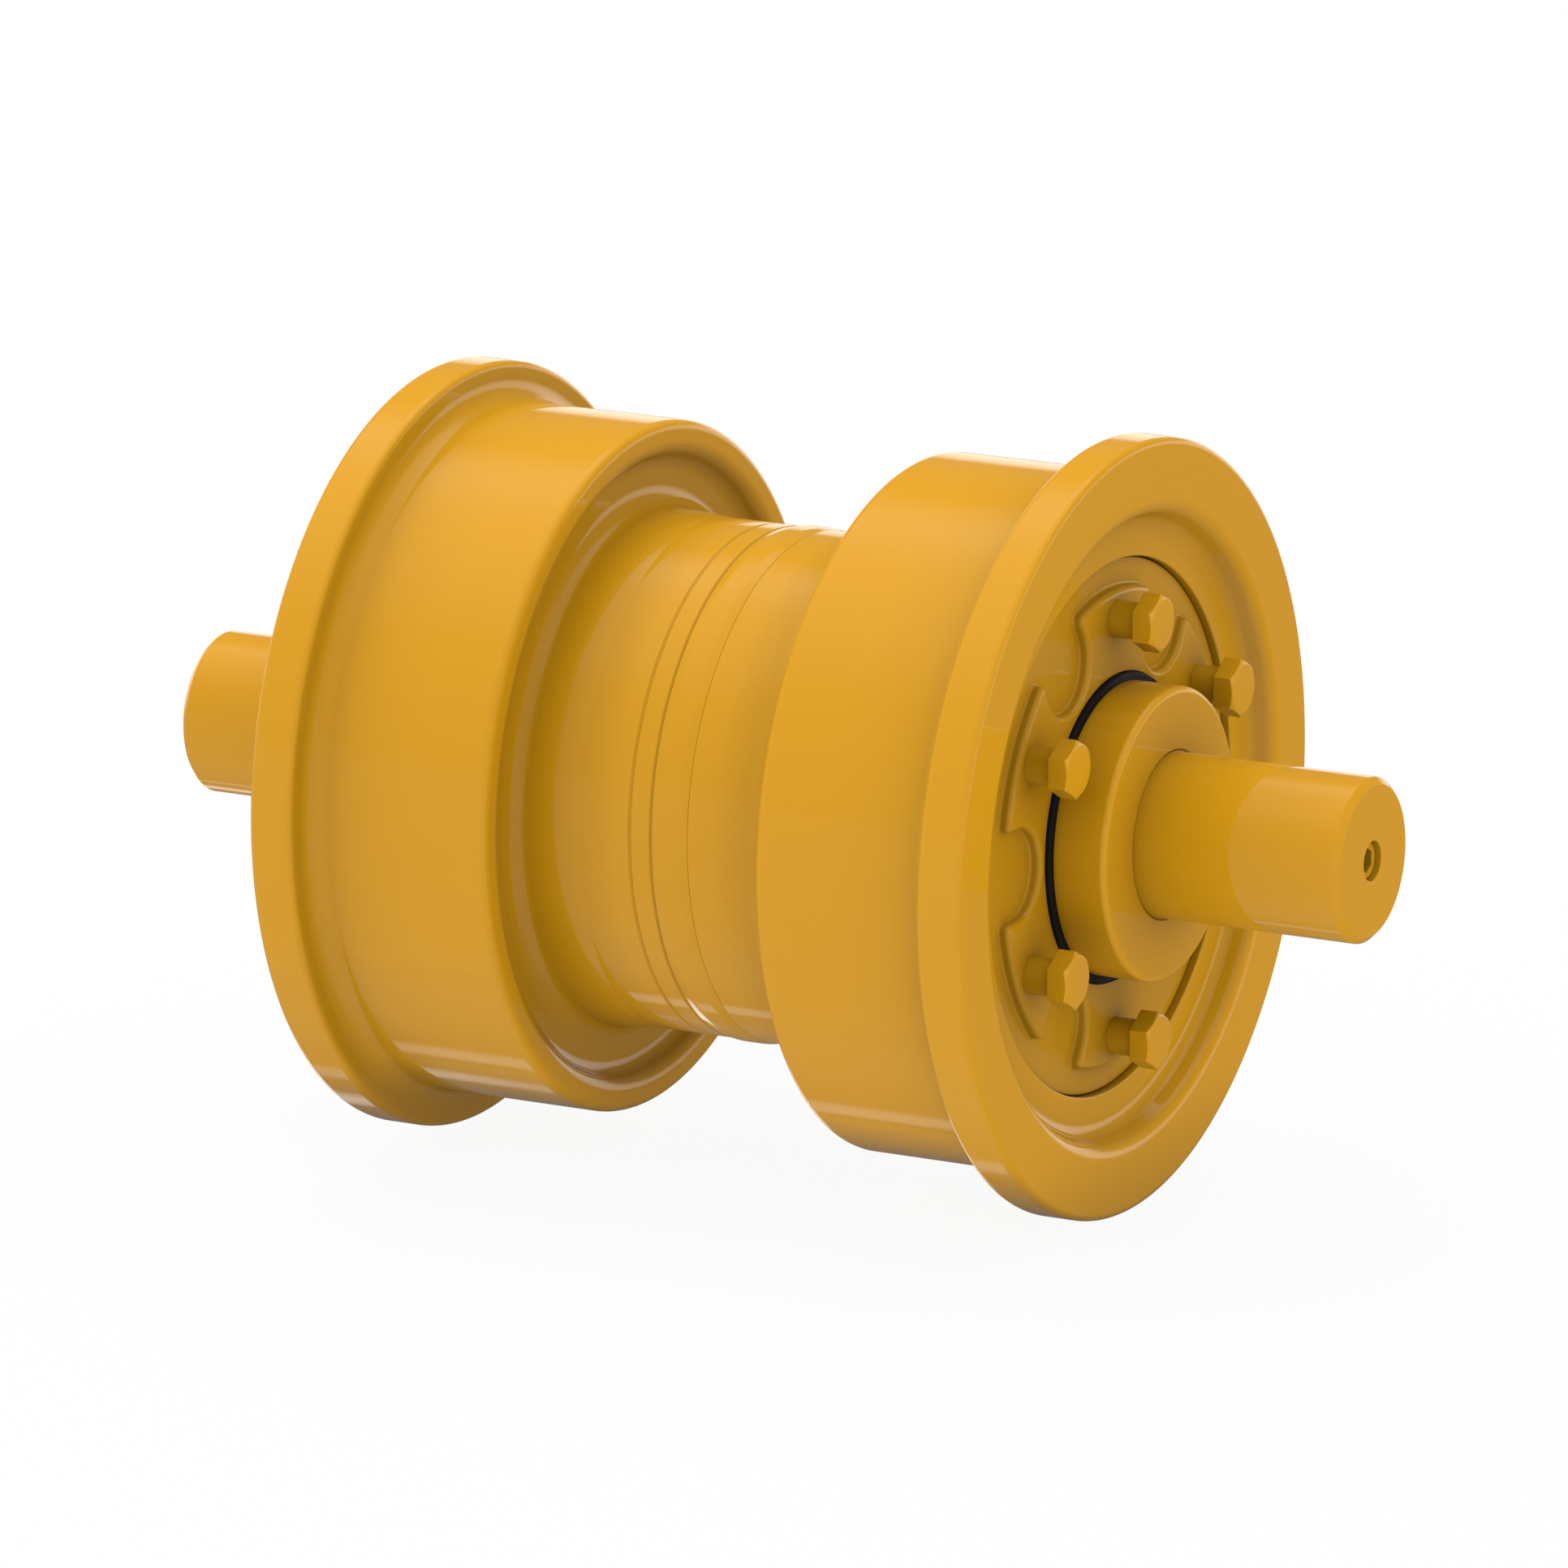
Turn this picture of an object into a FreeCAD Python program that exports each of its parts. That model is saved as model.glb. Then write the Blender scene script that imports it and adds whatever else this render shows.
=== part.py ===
import FreeCAD, Part
import math
import operator
import os
from types import SimpleNamespace

import Sketcher

# Track roller with one outer flange on each rim, a bolted seal retainer at each end and a fixed shaft.
# The shaft lies along X, with the origin at the middle of the roller and Z up. The oil plug is at the +X end.
# The pieces of an end are drawn at the +X end. The pieces of the -X end are the same, turned half way round Z.

# Driving sizes in millimetres. Lengths along the shaft build up outwards from the middle of the roller,
# and the seal's radii build up outwards from the shaft.
SIZES = {
    # rim halves, along the shaft
    "tread_gap": 126,
    "tread_width": 83.5,
    "flange_thickness": 20,
    "inner_dish_depth": 8,
    "outer_dish_depth": 12.7,
    "counterbore_depth": 15.8,
    "spigot_land": 64,
    # rim halves, across the shaft
    "tread_radius": 148.3,
    "flange_height": 16.7,
    "inner_tread_wall": 15.3,
    "outer_tread_wall": 14.3,
    "barrel_radius": 109.3,
    "rim_bore_radius": 70,
    "reservoir_step": 12,
    "counterbore_radius": 114,
    # rounded edges of the rim halves
    "flange_edge_round": 3,
    "flange_root_round": 9,
    "tread_edge_round": 4,
    "dish_lip_round": 6.5,
    "inner_dish_root_round": 1.5,
    "outer_dish_root_round": 5,
    "barrel_root_round": 18,
    # weld between the halves and the turned line beside it
    "weld_left_reach": 5.8,
    "weld_right_reach": 11.7,
    "weld_crown": 0.7,
    "weld_shoulder": 3,
    "turned_band_width": 9.9,
    "turned_line_half_width": 0.7,
    "turned_line_depth": 0.7,
    # seal retainer
    "retainer_edge_gap": 0.4,
    "plate_thickness": 11.5,
    "plate_margin": 11.6,
    "hub_height": 7,
    "lobe_count": 6,
    "pocket_wall": 4,
    "pocket_half_width": 19.5,
    "lobe_tip_round": 3,
    "lobe_top_round": 2.5,
    "lobe_root_round": 2,
    "mouth_depth": 7.5,
    "spigot_clearance": 0.05,
    "retainer_groove_inset": 20,
    # retainer bolts
    "bolt_margin": 12,
    "bolt_shoulder_radius": 8,
    "bolt_shoulder_length": 12.3,
    "bolt_thread_radius": 6,
    "bolt_thread_length": 46,
    "bolt_hole_clearance": 0.6,
    "bolt_tap_clearance": 0.05,
    "bolt_tap_spare": 4,
    "bolt_head_flats": 22,
    "bolt_head_height": 9,
    "bolt_head_crown_inset": 0.3,
    "bolt_head_chamfer_reach": 3,
    "bolt_head_chamfer_drop": 1.7,
    # shaft
    "shaft_end_radius": 35,
    "shaft_end_length": 92.8,
    "shaft_chamfer": 2.8,
    "collar_seat_step": 0.4,
    "journal_radius": 41,
    "thrust_flange_height": 17,
    "thrust_flange_half_width": 12,
    # oil drillings and plug
    "plug_radius": 8.5,
    "plug_clearance": 0.03,
    "plug_recess": 2.5,
    "plug_length": 14,
    "plug_hole_spare": 5,
    "plug_socket_flats": 9.5,
    "plug_socket_depth": 8,
    "plug_edge_chamfer": 0.8,
    "oil_drilling_radius": 5,
    "oil_port_radius": 3,
    "oil_port_at": 66,
    "oil_drilling_overrun": 6,
    # bearing bushes
    "bush_wall": 5.95,
    "bush_flange_thickness": 8,
    "bush_end_inset": 14,
    "bearing_clearance": 0.05,
    "thrust_clearance": 0.2,
    "bush_seat_clearance": 0.02,
    # end collars
    "collar_width": 31.2,
    "collar_hub_step": 3,
    "collar_hub_reach": 1.5,
    "collar_lip_wall": 5.3,
    "collar_edge_round": 2.8,
    "collar_fit_clearance": 0.02,
    "collar_lip_gap": 1.5,
    "collar_groove_inset": 11.5,
    # seal rings and the toric rings that press them together
    "seal_face_proud": 0.5,
    "seal_film": 0.05,
    "seal_bore_gap": 2,
    "seal_neck_wall": 3.1,
    "seal_neck_length": 6.8,
    "seal_face_width": 2.4,
    "seal_face_gap": 2.5,
    "toric_section_radius": 3.9,
    "toric_clearance": 0.05,
    "toric_end_room": 0.25,
    # static O-rings
    "o_ring_section_radius": 2.2,
    "o_ring_room": 0.05,
    # rubber guard ring round the collar, in the retainer's mouth
    "guard_ring_thickness": 3.4,
    "guard_ring_width": 6.8,
    "guard_ring_inset": 0.8,
    "guard_ring_gap": 0.3,
    "guard_ring_round": 1.2,
}

FULL_TURN = 360
SMALL = 1e-4
OPERATIONS = {"+": operator.add, "-": operator.sub, "*": operator.mul, "/": operator.truediv}


class Size:
    """Size made of cells of the sheet: the expression that binds a feature to them, and its present number."""

    def __init__(self, text, number):
        self.text = text
        self.number = number

    @staticmethod
    def of(value):
        return value if isinstance(value, Size) else Size(str(value), value)

    def joined(self, sign, other):
        other = Size.of(other)
        return Size(f"({self.text} {sign} {other.text})", OPERATIONS[sign](self.number, other.number))

    def __add__(self, other):
        return self.joined("+", other)

    def __sub__(self, other):
        return self.joined("-", other)

    def __mul__(self, other):
        return self.joined("*", other)

    def __truediv__(self, other):
        return self.joined("/", other)

    def __neg__(self):
        return Size.of(0).joined("-", self)

    def up_to(self, limit):
        """This size, or the limit where that is smaller."""
        return Size(f"min({self.text}; {limit.text})", min(self.number, limit.number))


doc = FreeCAD.newDocument("track_roller")
sheet = doc.addObject("Spreadsheet::Sheet", "Sizes")
for row, (alias, number) in enumerate(SIZES.items(), start=1):
    sheet.set(f"A{row}", alias)
    sheet.set(f"B{row}", str(number))
    sheet.setAlias(f"B{row}", alias)
doc.recompute()
size = SimpleNamespace(**{alias: Size(f"Sizes.{alias}", number) for alias, number in SIZES.items()})

# Places along the shaft, from the middle of the roller outwards.
tread_inner = size.tread_gap / 2
flange_inner = tread_inner + size.tread_width
flange_outer = flange_inner + size.flange_thickness
inner_dish_floor = tread_inner + size.inner_dish_depth
outer_dish_floor = flange_outer - size.outer_dish_depth
retainer_seat = outer_dish_floor - size.counterbore_depth
reservoir_end = retainer_seat - size.spigot_land
plate_face = retainer_seat + size.plate_thickness
hub_face = plate_face + size.hub_height
mouth_floor = hub_face - size.mouth_depth
seal_plane = mouth_floor + size.seal_face_proud
toric_offset = size.seal_face_width + size.toric_clearance + size.toric_section_radius
seal_seat_depth = toric_offset + size.toric_section_radius + size.toric_end_room
journal_end = seal_plane - size.collar_hub_reach
collar_lip = seal_plane + size.collar_lip_gap
collar_outer = collar_lip + size.collar_width
shaft_end = collar_outer + size.shaft_end_length
bush_inner_end = size.thrust_flange_half_width + size.thrust_clearance
bush_flange_back = bush_inner_end + size.bush_flange_thickness
bush_outer_end = seal_plane - seal_seat_depth - size.bush_end_inset
bolt_head_back = hub_face + size.bolt_shoulder_length
bolt_head_face = bolt_head_back + size.bolt_head_height
bolt_thread_end = hub_face - size.bolt_thread_length

# Radii. The seal's radii start at the journal, the bolt circle starts at the counterbore.
flange_radius = size.tread_radius + size.flange_height
inner_dish_radius = size.tread_radius - size.inner_tread_wall
outer_dish_radius = size.tread_radius - size.outer_tread_wall
reservoir_radius = size.rim_bore_radius + size.reservoir_step
plate_radius = size.counterbore_radius - size.retainer_edge_gap
hub_radius = plate_radius - size.plate_margin
bolt_circle_radius = hub_radius - size.bolt_margin
spigot_radius = size.rim_bore_radius - size.spigot_clearance
thrust_flange_radius = size.journal_radius + size.thrust_flange_height
bush_bore_radius = size.journal_radius + size.bearing_clearance
bush_outer_radius = bush_bore_radius + size.bush_wall
bush_seat_radius = bush_outer_radius + size.bush_seat_clearance
collar_seat_radius = size.shaft_end_radius + size.collar_seat_step
collar_bore_radius = collar_seat_radius + size.collar_fit_clearance
collar_hub_radius = size.journal_radius + size.collar_hub_step
seal_bore_radius = collar_hub_radius + size.seal_bore_gap
seal_neck_radius = seal_bore_radius + size.seal_neck_wall
toric_radius = seal_neck_radius + size.toric_clearance + size.toric_section_radius
seal_seat_radius = toric_radius + size.toric_section_radius + size.toric_clearance
seal_face_radius = seal_seat_radius - size.seal_face_gap
collar_radius = seal_seat_radius + size.collar_lip_wall
guard_ring_radius = collar_radius + size.guard_ring_thickness
mouth_radius = guard_ring_radius + size.guard_ring_gap
pocket_floor_radius = mouth_radius + size.pocket_wall
pocket_centre_radius = pocket_floor_radius + size.pocket_half_width

# Grooves for the static O-rings.
o_ring_groove_half_width = size.o_ring_section_radius + size.o_ring_room
o_ring_groove_depth = size.o_ring_section_radius * 2 + size.o_ring_room
retainer_groove = retainer_seat - size.retainer_groove_inset
collar_groove = collar_outer - size.collar_groove_inset


def origin_item(body, role):
    """Origin plane or axis of a body, found by its role."""
    return next(item for item in body.Origin.OriginFeatures if item.Role == role)


def new_body(label, turned=False):
    """Body named after its piece. A turned one stands at the -X end."""
    body = doc.addObject("PartDesign::Body", label)
    body.Label = label
    if turned:
        half_round = FreeCAD.Rotation(FreeCAD.Vector(0, 0, 1), FULL_TURN / 2)
        body.Placement = FreeCAD.Placement(FreeCAD.Vector(), half_round)
    return body


def new_sketch(body, name, role, along=0, up=0):
    """Sketch on an origin plane of the body, moved off the plane by along and within it by up."""
    sketch = body.newObject("Sketcher::SketchObject", name)
    sketch.AttachmentSupport = (origin_item(body, role), [""])
    sketch.MapMode = "FlatFace"
    sketch.setExpression("AttachmentOffset.Base.y", Size.of(up).text)
    sketch.setExpression("AttachmentOffset.Base.z", Size.of(along).text)
    return sketch


def bind(sketch, constraint, value):
    """Adds a constraint whose value follows the sheet."""
    number = sketch.addConstraint(constraint)
    sketch.setExpression(f"Constraints[{number}]", value.text)


def hold(sketch, geometry, point, across=None, up=None):
    """Ties the coordinates of a sketch point to sizes, or to an axis where they are nought."""
    for kind, axis, value in (("DistanceX", -2, across), ("DistanceY", -1, up)):
        if value is None:
            continue
        value = Size.of(value)
        if value.number == 0:
            sketch.addConstraint(Sketcher.Constraint("PointOnObject", geometry, point, axis))
        else:
            bind(sketch, Sketcher.Constraint(kind, -1, 1, geometry, point, value.number), value)


def add_line(sketch, start, end):
    """Line between two places given as numbers."""
    return sketch.addGeometry(Part.LineSegment(FreeCAD.Vector(*start), FreeCAD.Vector(*end)), False)


def polygon(sketch, corners):
    """Closed outline through corners, each a pair of sizes."""
    points = [(Size.of(across).number, Size.of(up).number) for across, up in corners]
    for start, end in zip(points, points[1:] + points[:1]):
        add_line(sketch, start, end)
    for index, (across, up) in enumerate(corners):
        following = (index + 1) % len(corners)
        sketch.addConstraint(Sketcher.Constraint("Coincident", index, 2, following, 1))
        hold(sketch, index, 1, across, up)


def circle(sketch, up, radius):
    """Circle above the sketch's origin."""
    up = Size.of(up)
    outline = Part.Circle(FreeCAD.Vector(0, up.number), FreeCAD.Vector(0, 0, 1), radius.number)
    geometry = sketch.addGeometry(outline, False)
    hold(sketch, geometry, 3, 0, up)
    bind(sketch, Sketcher.Constraint("Radius", geometry, radius.number), radius)


def hexagon(sketch, flats):
    """Regular hexagon about the sketch's origin, with one corner straight up."""
    half = flats / 2
    corner = flats / Size("sqrt(3)", math.sqrt(3))
    shoulder = corner / 2
    upper = [(0, corner), (half, shoulder), (half, -shoulder)]
    lower = [(0, -corner), (-half, -shoulder), (-half, shoulder)]
    polygon(sketch, upper + lower)


def revolve(body, name, corners, kind="PartDesign::Revolution", up=0):
    """Turned form about the shaft's axis, or about an axis raised by up, from corners (along, radius)."""
    sketch = new_sketch(body, f"{name}_profile", "XZ_Plane", up=up)
    polygon(sketch, corners)
    feature = body.newObject(kind, name)
    feature.Profile = sketch
    feature.ReferenceAxis = (sketch, ["H_Axis"])
    feature.Angle = FULL_TURN
    doc.recompute()
    return feature


def cut(body, name, sketch, depth):
    """Pocket of the sketch, towards the middle of the roller."""
    feature = body.newObject("PartDesign::Pocket", name)
    feature.Profile = sketch
    feature.setExpression("Length", depth.text)
    doc.recompute()
    return feature


def drill(body, name, radius, start, depth, up=0):
    """Round hole along the shaft from start towards the middle of the roller."""
    sketch = new_sketch(body, f"{name}_outline", "YZ_Plane", along=start)
    circle(sketch, up, radius)
    return cut(body, name, sketch, depth)


def round_edges(body, base, name, radius, chosen):
    """Rounds those edges of base that chosen accepts."""
    edges = [f"Edge{number}" for number, edge in enumerate(base.Shape.Edges, start=1) if chosen(edge)]
    feature = body.newObject("PartDesign::Fillet", name)
    feature.Base = (base, edges)
    feature.setExpression("Radius", radius.text)
    doc.recompute()
    return feature


def repeat(body, name, originals):
    """Repeats features round the shaft, once for each lobe of the retainer."""
    pattern = body.newObject("PartDesign::PolarPattern", name)
    pattern.Originals = originals
    pattern.Axis = (origin_item(body, "X_Axis"), [""])
    pattern.Angle = FULL_TURN
    pattern.setExpression("Occurrences", size.lobe_count.text)
    body.Tip = pattern
    doc.recompute()
    return pattern


def reach(edge):
    """Smallest and largest distance of an edge's ends from the shaft's axis."""
    distances = [math.hypot(vertex.Point.y, vertex.Point.z) for vertex in edge.Vertexes]
    return min(distances), max(distances)


def lies_at(edge, along):
    """Whether an edge lies in the plane across the shaft at along."""
    box = edge.BoundBox
    return box.XLength < SMALL and abs(box.XMin - along.number) < SMALL


def corner_ring(*rings):
    """Test for the circular edges at (along, radius)."""
    def test(edge):
        return any(lies_at(edge, along) and abs(reach(edge)[0] - radius.number) < SMALL for along, radius in rings)
    return test


def rim_half(label, barrel_end, turned):
    """Forged half rim: flange, tread, a dish on both sides, stepped bore and tapped bolt holes."""
    body = new_body(label, turned)
    form = revolve(body, f"{label}_form", barrel_end + [
        (inner_dish_floor, size.barrel_radius),
        (inner_dish_floor, inner_dish_radius),
        (tread_inner, inner_dish_radius),
        (tread_inner, size.tread_radius),
        (flange_inner, size.tread_radius),
        (flange_inner, flange_radius),
        (flange_outer, flange_radius),
        (flange_outer, outer_dish_radius),
        (outer_dish_floor, outer_dish_radius),
        (outer_dish_floor, size.counterbore_radius),
        (retainer_seat, size.counterbore_radius),
        (retainer_seat, size.rim_bore_radius),
        (reservoir_end, size.rim_bore_radius),
        (reservoir_end, reservoir_radius),
    ])
    inner_root_room = size.inner_dish_root_round * 5 / 4
    barrel_root = size.barrel_root_round.up_to(inner_dish_radius - size.barrel_radius - inner_root_room)
    inner_lip = size.dish_lip_round.up_to(size.inner_dish_depth - inner_root_room)
    outer_lip = size.dish_lip_round.up_to(size.outer_dish_depth - size.outer_dish_root_round * 6 / 5)
    rounds = [
        ("barrel_root", barrel_root, [(inner_dish_floor, size.barrel_radius)]),
        ("inner_dish_root", size.inner_dish_root_round, [(inner_dish_floor, inner_dish_radius)]),
        ("inner_dish_lip", inner_lip, [(tread_inner, inner_dish_radius)]),
        ("tread_edge", size.tread_edge_round, [(tread_inner, size.tread_radius)]),
        ("flange_root", size.flange_root_round, [(flange_inner, size.tread_radius)]),
        ("flange_edges", size.flange_edge_round, [(flange_inner, flange_radius), (flange_outer, flange_radius)]),
        ("outer_dish_root", size.outer_dish_root_round, [(outer_dish_floor, outer_dish_radius)]),
        ("outer_dish_lip", outer_lip, [(flange_outer, outer_dish_radius)]),
    ]
    for name, radius, rings in rounds:
        form = round_edges(body, form, f"{label}_{name}", radius, corner_ring(*rings))
    depth = retainer_seat - bolt_thread_end + size.bolt_tap_spare
    radius = size.bolt_thread_radius + size.bolt_tap_clearance
    hole = drill(body, f"{label}_tapped_hole", radius, retainer_seat, depth, bolt_circle_radius)
    repeat(body, f"{label}_tapped_holes", [hole])
    return body


def weld():
    """Weld between the two barrels: a ring with a low crown and a turned line on its left side."""
    body = new_body("centre_weld")
    crown_radius = size.barrel_radius + size.weld_crown
    left = -size.weld_left_reach
    revolve(body, "weld_form", [
        (left, reservoir_radius),
        (left, size.barrel_radius - size.turned_line_depth),
        (left + size.turned_line_half_width, size.barrel_radius),
        (left + size.weld_shoulder, crown_radius),
        (size.weld_right_reach - size.weld_shoulder, crown_radius),
        (size.weld_right_reach, size.barrel_radius),
        (size.weld_right_reach, reservoir_radius),
    ])
    return body


def pocket_outline(sketch):
    """Scallop between two lobes: half round towards the shaft, with straight walls past the hub's edge."""
    centre = pocket_centre_radius.number
    half = size.pocket_half_width.number
    outer = hub_radius + size.pocket_half_width
    outline = Part.Circle(FreeCAD.Vector(centre, 0), FreeCAD.Vector(0, 0, 1), half)
    arc = sketch.addGeometry(Part.ArcOfCircle(outline, math.pi / 2, math.pi * 3 / 2), False)
    upper = add_line(sketch, (centre, half), (outer.number, half))
    closing = add_line(sketch, (outer.number, half), (outer.number, -half))
    lower = add_line(sketch, (outer.number, -half), (centre, -half))
    sketch.addConstraint(Sketcher.Constraint("Coincident", arc, 1, upper, 1))
    sketch.addConstraint(Sketcher.Constraint("Coincident", upper, 2, closing, 1))
    sketch.addConstraint(Sketcher.Constraint("Coincident", closing, 2, lower, 1))
    sketch.addConstraint(Sketcher.Constraint("Coincident", lower, 2, arc, 2))
    sketch.addConstraint(Sketcher.Constraint("Horizontal", upper))
    sketch.addConstraint(Sketcher.Constraint("Horizontal", lower))
    sketch.addConstraint(Sketcher.Constraint("Vertical", closing))
    hold(sketch, arc, 3, pocket_centre_radius, 0)
    hold(sketch, arc, 1, pocket_centre_radius, size.pocket_half_width)
    hold(sketch, arc, 2, pocket_centre_radius)
    hold(sketch, closing, 1, outer)


def lobe_tip(edge):
    """Test for the upright edges where the hub's rim meets a pocket wall."""
    box = edge.BoundBox
    upright = box.YLength < SMALL and box.ZLength < SMALL and box.XMax > hub_face.number - SMALL
    return upright and reach(edge)[0] > hub_radius.number - SMALL


def lobe_outline(along):
    """Test for the edges round the lobes at along, outside the mouth."""
    def test(edge):
        nearest, furthest = reach(edge)
        between = nearest > mouth_radius.number + SMALL and furthest < hub_radius.number + SMALL
        return lies_at(edge, along) and between
    return test


def retainer(label, turned):
    """Cast seal retainer: round plate, six-lobed hub, bearing sleeve, seal seat and bolt holes."""
    body = new_body(label, turned)
    groove_floor = spigot_radius - o_ring_groove_depth
    seat_floor = seal_plane - seal_seat_depth
    revolve(body, f"{label}_form", [
        (bush_flange_back, bush_seat_radius),
        (bush_flange_back, spigot_radius),
        (retainer_groove - o_ring_groove_half_width, spigot_radius),
        (retainer_groove - o_ring_groove_half_width, groove_floor),
        (retainer_groove + o_ring_groove_half_width, groove_floor),
        (retainer_groove + o_ring_groove_half_width, spigot_radius),
        (retainer_seat, spigot_radius),
        (retainer_seat, plate_radius),
        (plate_face, plate_radius),
        (plate_face, hub_radius),
        (hub_face, hub_radius),
        (hub_face, mouth_radius),
        (mouth_floor, mouth_radius),
        (mouth_floor, seal_seat_radius),
        (seat_floor, seal_seat_radius),
        (seat_floor, bush_seat_radius),
    ])
    sketch = new_sketch(body, f"{label}_pocket_outline", "YZ_Plane", along=hub_face)
    half_pitch = Size.of(FULL_TURN / 2) / size.lobe_count
    turn_from_bolt = Size.of(FULL_TURN / 4) - half_pitch
    sketch.setExpression("AttachmentOffset.Rotation.Angle", turn_from_bolt.text)
    pocket_outline(sketch)
    pocket = cut(body, f"{label}_pocket", sketch, size.hub_height)
    lobes = repeat(body, f"{label}_pockets", [pocket])
    lobes = round_edges(body, lobes, f"{label}_lobe_tips", size.lobe_tip_round, lobe_tip)
    lobes = round_edges(body, lobes, f"{label}_lobe_tops", size.lobe_top_round, lobe_outline(hub_face))
    round_edges(body, lobes, f"{label}_lobe_roots", size.lobe_root_round, lobe_outline(plate_face))
    radius = size.bolt_thread_radius + size.bolt_hole_clearance
    depth = hub_face - retainer_seat
    hole = drill(body, f"{label}_bolt_hole", radius, hub_face, depth, bolt_circle_radius)
    repeat(body, f"{label}_bolt_holes", [hole])
    return body


def bolts(label, turned):
    """Retainer bolts: hexagon head, plain shoulder that bears on the lobe, and a thinner threaded end."""
    body = new_body(label, turned)
    shank = revolve(body, f"{label}_shank", [
        (bolt_thread_end, 0),
        (bolt_thread_end, size.bolt_thread_radius),
        (hub_face, size.bolt_thread_radius),
        (hub_face, size.bolt_shoulder_radius),
        (bolt_head_back, size.bolt_shoulder_radius),
        (bolt_head_back, 0),
    ], up=bolt_circle_radius)
    sketch = new_sketch(body, f"{label}_head_outline", "YZ_Plane", along=bolt_head_back, up=bolt_circle_radius)
    hexagon(sketch, size.bolt_head_flats)
    head = body.newObject("PartDesign::Pad", f"{label}_head")
    head.Profile = sketch
    head.setExpression("Length", size.bolt_head_height.text)
    doc.recompute()
    crown_radius = size.bolt_head_flats / 2 - size.bolt_head_crown_inset
    chamfer = revolve(body, f"{label}_head_chamfer", [
        (bolt_head_face, crown_radius),
        (bolt_head_face, crown_radius + size.bolt_head_chamfer_reach),
        (bolt_head_face - size.bolt_head_chamfer_drop, crown_radius + size.bolt_head_chamfer_reach),
    ], kind="PartDesign::Groove", up=bolt_circle_radius)
    repeat(body, f"{label}_set", [shank, head, chamfer])
    return body


def shaft():
    """Fixed shaft: plain chamfered ends, collar seats, journals, thrust flange in the middle and oil drillings."""
    body = new_body("shaft")
    groove_floor = collar_seat_radius - o_ring_groove_depth
    half = [
        (size.thrust_flange_half_width, thrust_flange_radius),
        (size.thrust_flange_half_width, size.journal_radius),
        (journal_end, size.journal_radius),
        (journal_end, collar_seat_radius),
        (collar_groove - o_ring_groove_half_width, collar_seat_radius),
        (collar_groove - o_ring_groove_half_width, groove_floor),
        (collar_groove + o_ring_groove_half_width, groove_floor),
        (collar_groove + o_ring_groove_half_width, collar_seat_radius),
        (collar_outer, collar_seat_radius),
        (collar_outer, size.shaft_end_radius),
        (shaft_end - size.shaft_chamfer, size.shaft_end_radius),
        (shaft_end, size.shaft_end_radius - size.shaft_chamfer),
        (shaft_end, 0),
    ]
    other_half = [(-along, radius) for along, radius in reversed(half)]
    revolve(body, "shaft_form", other_half + half)
    plug_hole_depth = size.plug_recess + size.plug_length + size.plug_hole_spare
    drill(body, "plug_hole", size.plug_radius, shaft_end, plug_hole_depth)
    drilling_depth = shaft_end + size.oil_port_at + size.oil_drilling_overrun
    drill(body, "oil_drilling", size.oil_drilling_radius, shaft_end, drilling_depth)
    for side, along in (("left", -size.oil_port_at), ("right", size.oil_port_at)):
        sketch = new_sketch(body, f"oil_port_{side}_outline", "XY_Plane")
        centre = FreeCAD.Vector(along.number, 0)
        outline = Part.Circle(centre, FreeCAD.Vector(0, 0, 1), size.oil_port_radius.number)
        geometry = sketch.addGeometry(outline, False)
        hold(sketch, geometry, 3, along, 0)
        bind(sketch, Sketcher.Constraint("Radius", geometry, size.oil_port_radius.number), size.oil_port_radius)
        cut(body, f"oil_port_{side}", sketch, size.journal_radius + size.oil_port_radius)
    return body


def plug():
    """Oil plug: a short round body with a hexagon socket, set a little way into the shaft's end."""
    body = new_body("oil_plug")
    face = shaft_end - size.plug_recess
    radius = size.plug_radius - size.plug_clearance
    revolve(body, "plug_form", [
        (face - size.plug_length, 0),
        (face - size.plug_length, radius),
        (face - size.plug_edge_chamfer, radius),
        (face, radius - size.plug_edge_chamfer),
        (face, 0),
    ])
    sketch = new_sketch(body, "plug_socket_outline", "YZ_Plane", along=face)
    hexagon(sketch, size.plug_socket_flats)
    cut(body, "plug_socket", sketch, size.plug_socket_depth)
    return body


def bush(label, turned):
    """Bronze bearing bush with a thrust flange that faces the shaft's middle flange."""
    body = new_body(label, turned)
    revolve(body, f"{label}_form", [
        (bush_inner_end, bush_bore_radius),
        (bush_inner_end, thrust_flange_radius),
        (bush_flange_back, thrust_flange_radius),
        (bush_flange_back, bush_outer_radius),
        (bush_outer_end, bush_outer_radius),
        (bush_outer_end, bush_bore_radius),
    ])
    return body


def collar(label, turned):
    """End collar: a thick ring on the shaft, cupped towards the roller for the fixed seal ring."""
    body = new_body(label, turned)
    seat_floor = seal_plane + seal_seat_depth
    form = revolve(body, f"{label}_form", [
        (journal_end, collar_bore_radius),
        (journal_end, collar_hub_radius),
        (seat_floor, collar_hub_radius),
        (seat_floor, seal_seat_radius),
        (collar_lip, seal_seat_radius),
        (collar_lip, collar_radius),
        (collar_outer, collar_radius),
        (collar_outer, collar_bore_radius),
    ])
    round_edges(body, form, f"{label}_edge", size.collar_edge_round, corner_ring((collar_outer, collar_radius)))
    return body


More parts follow.
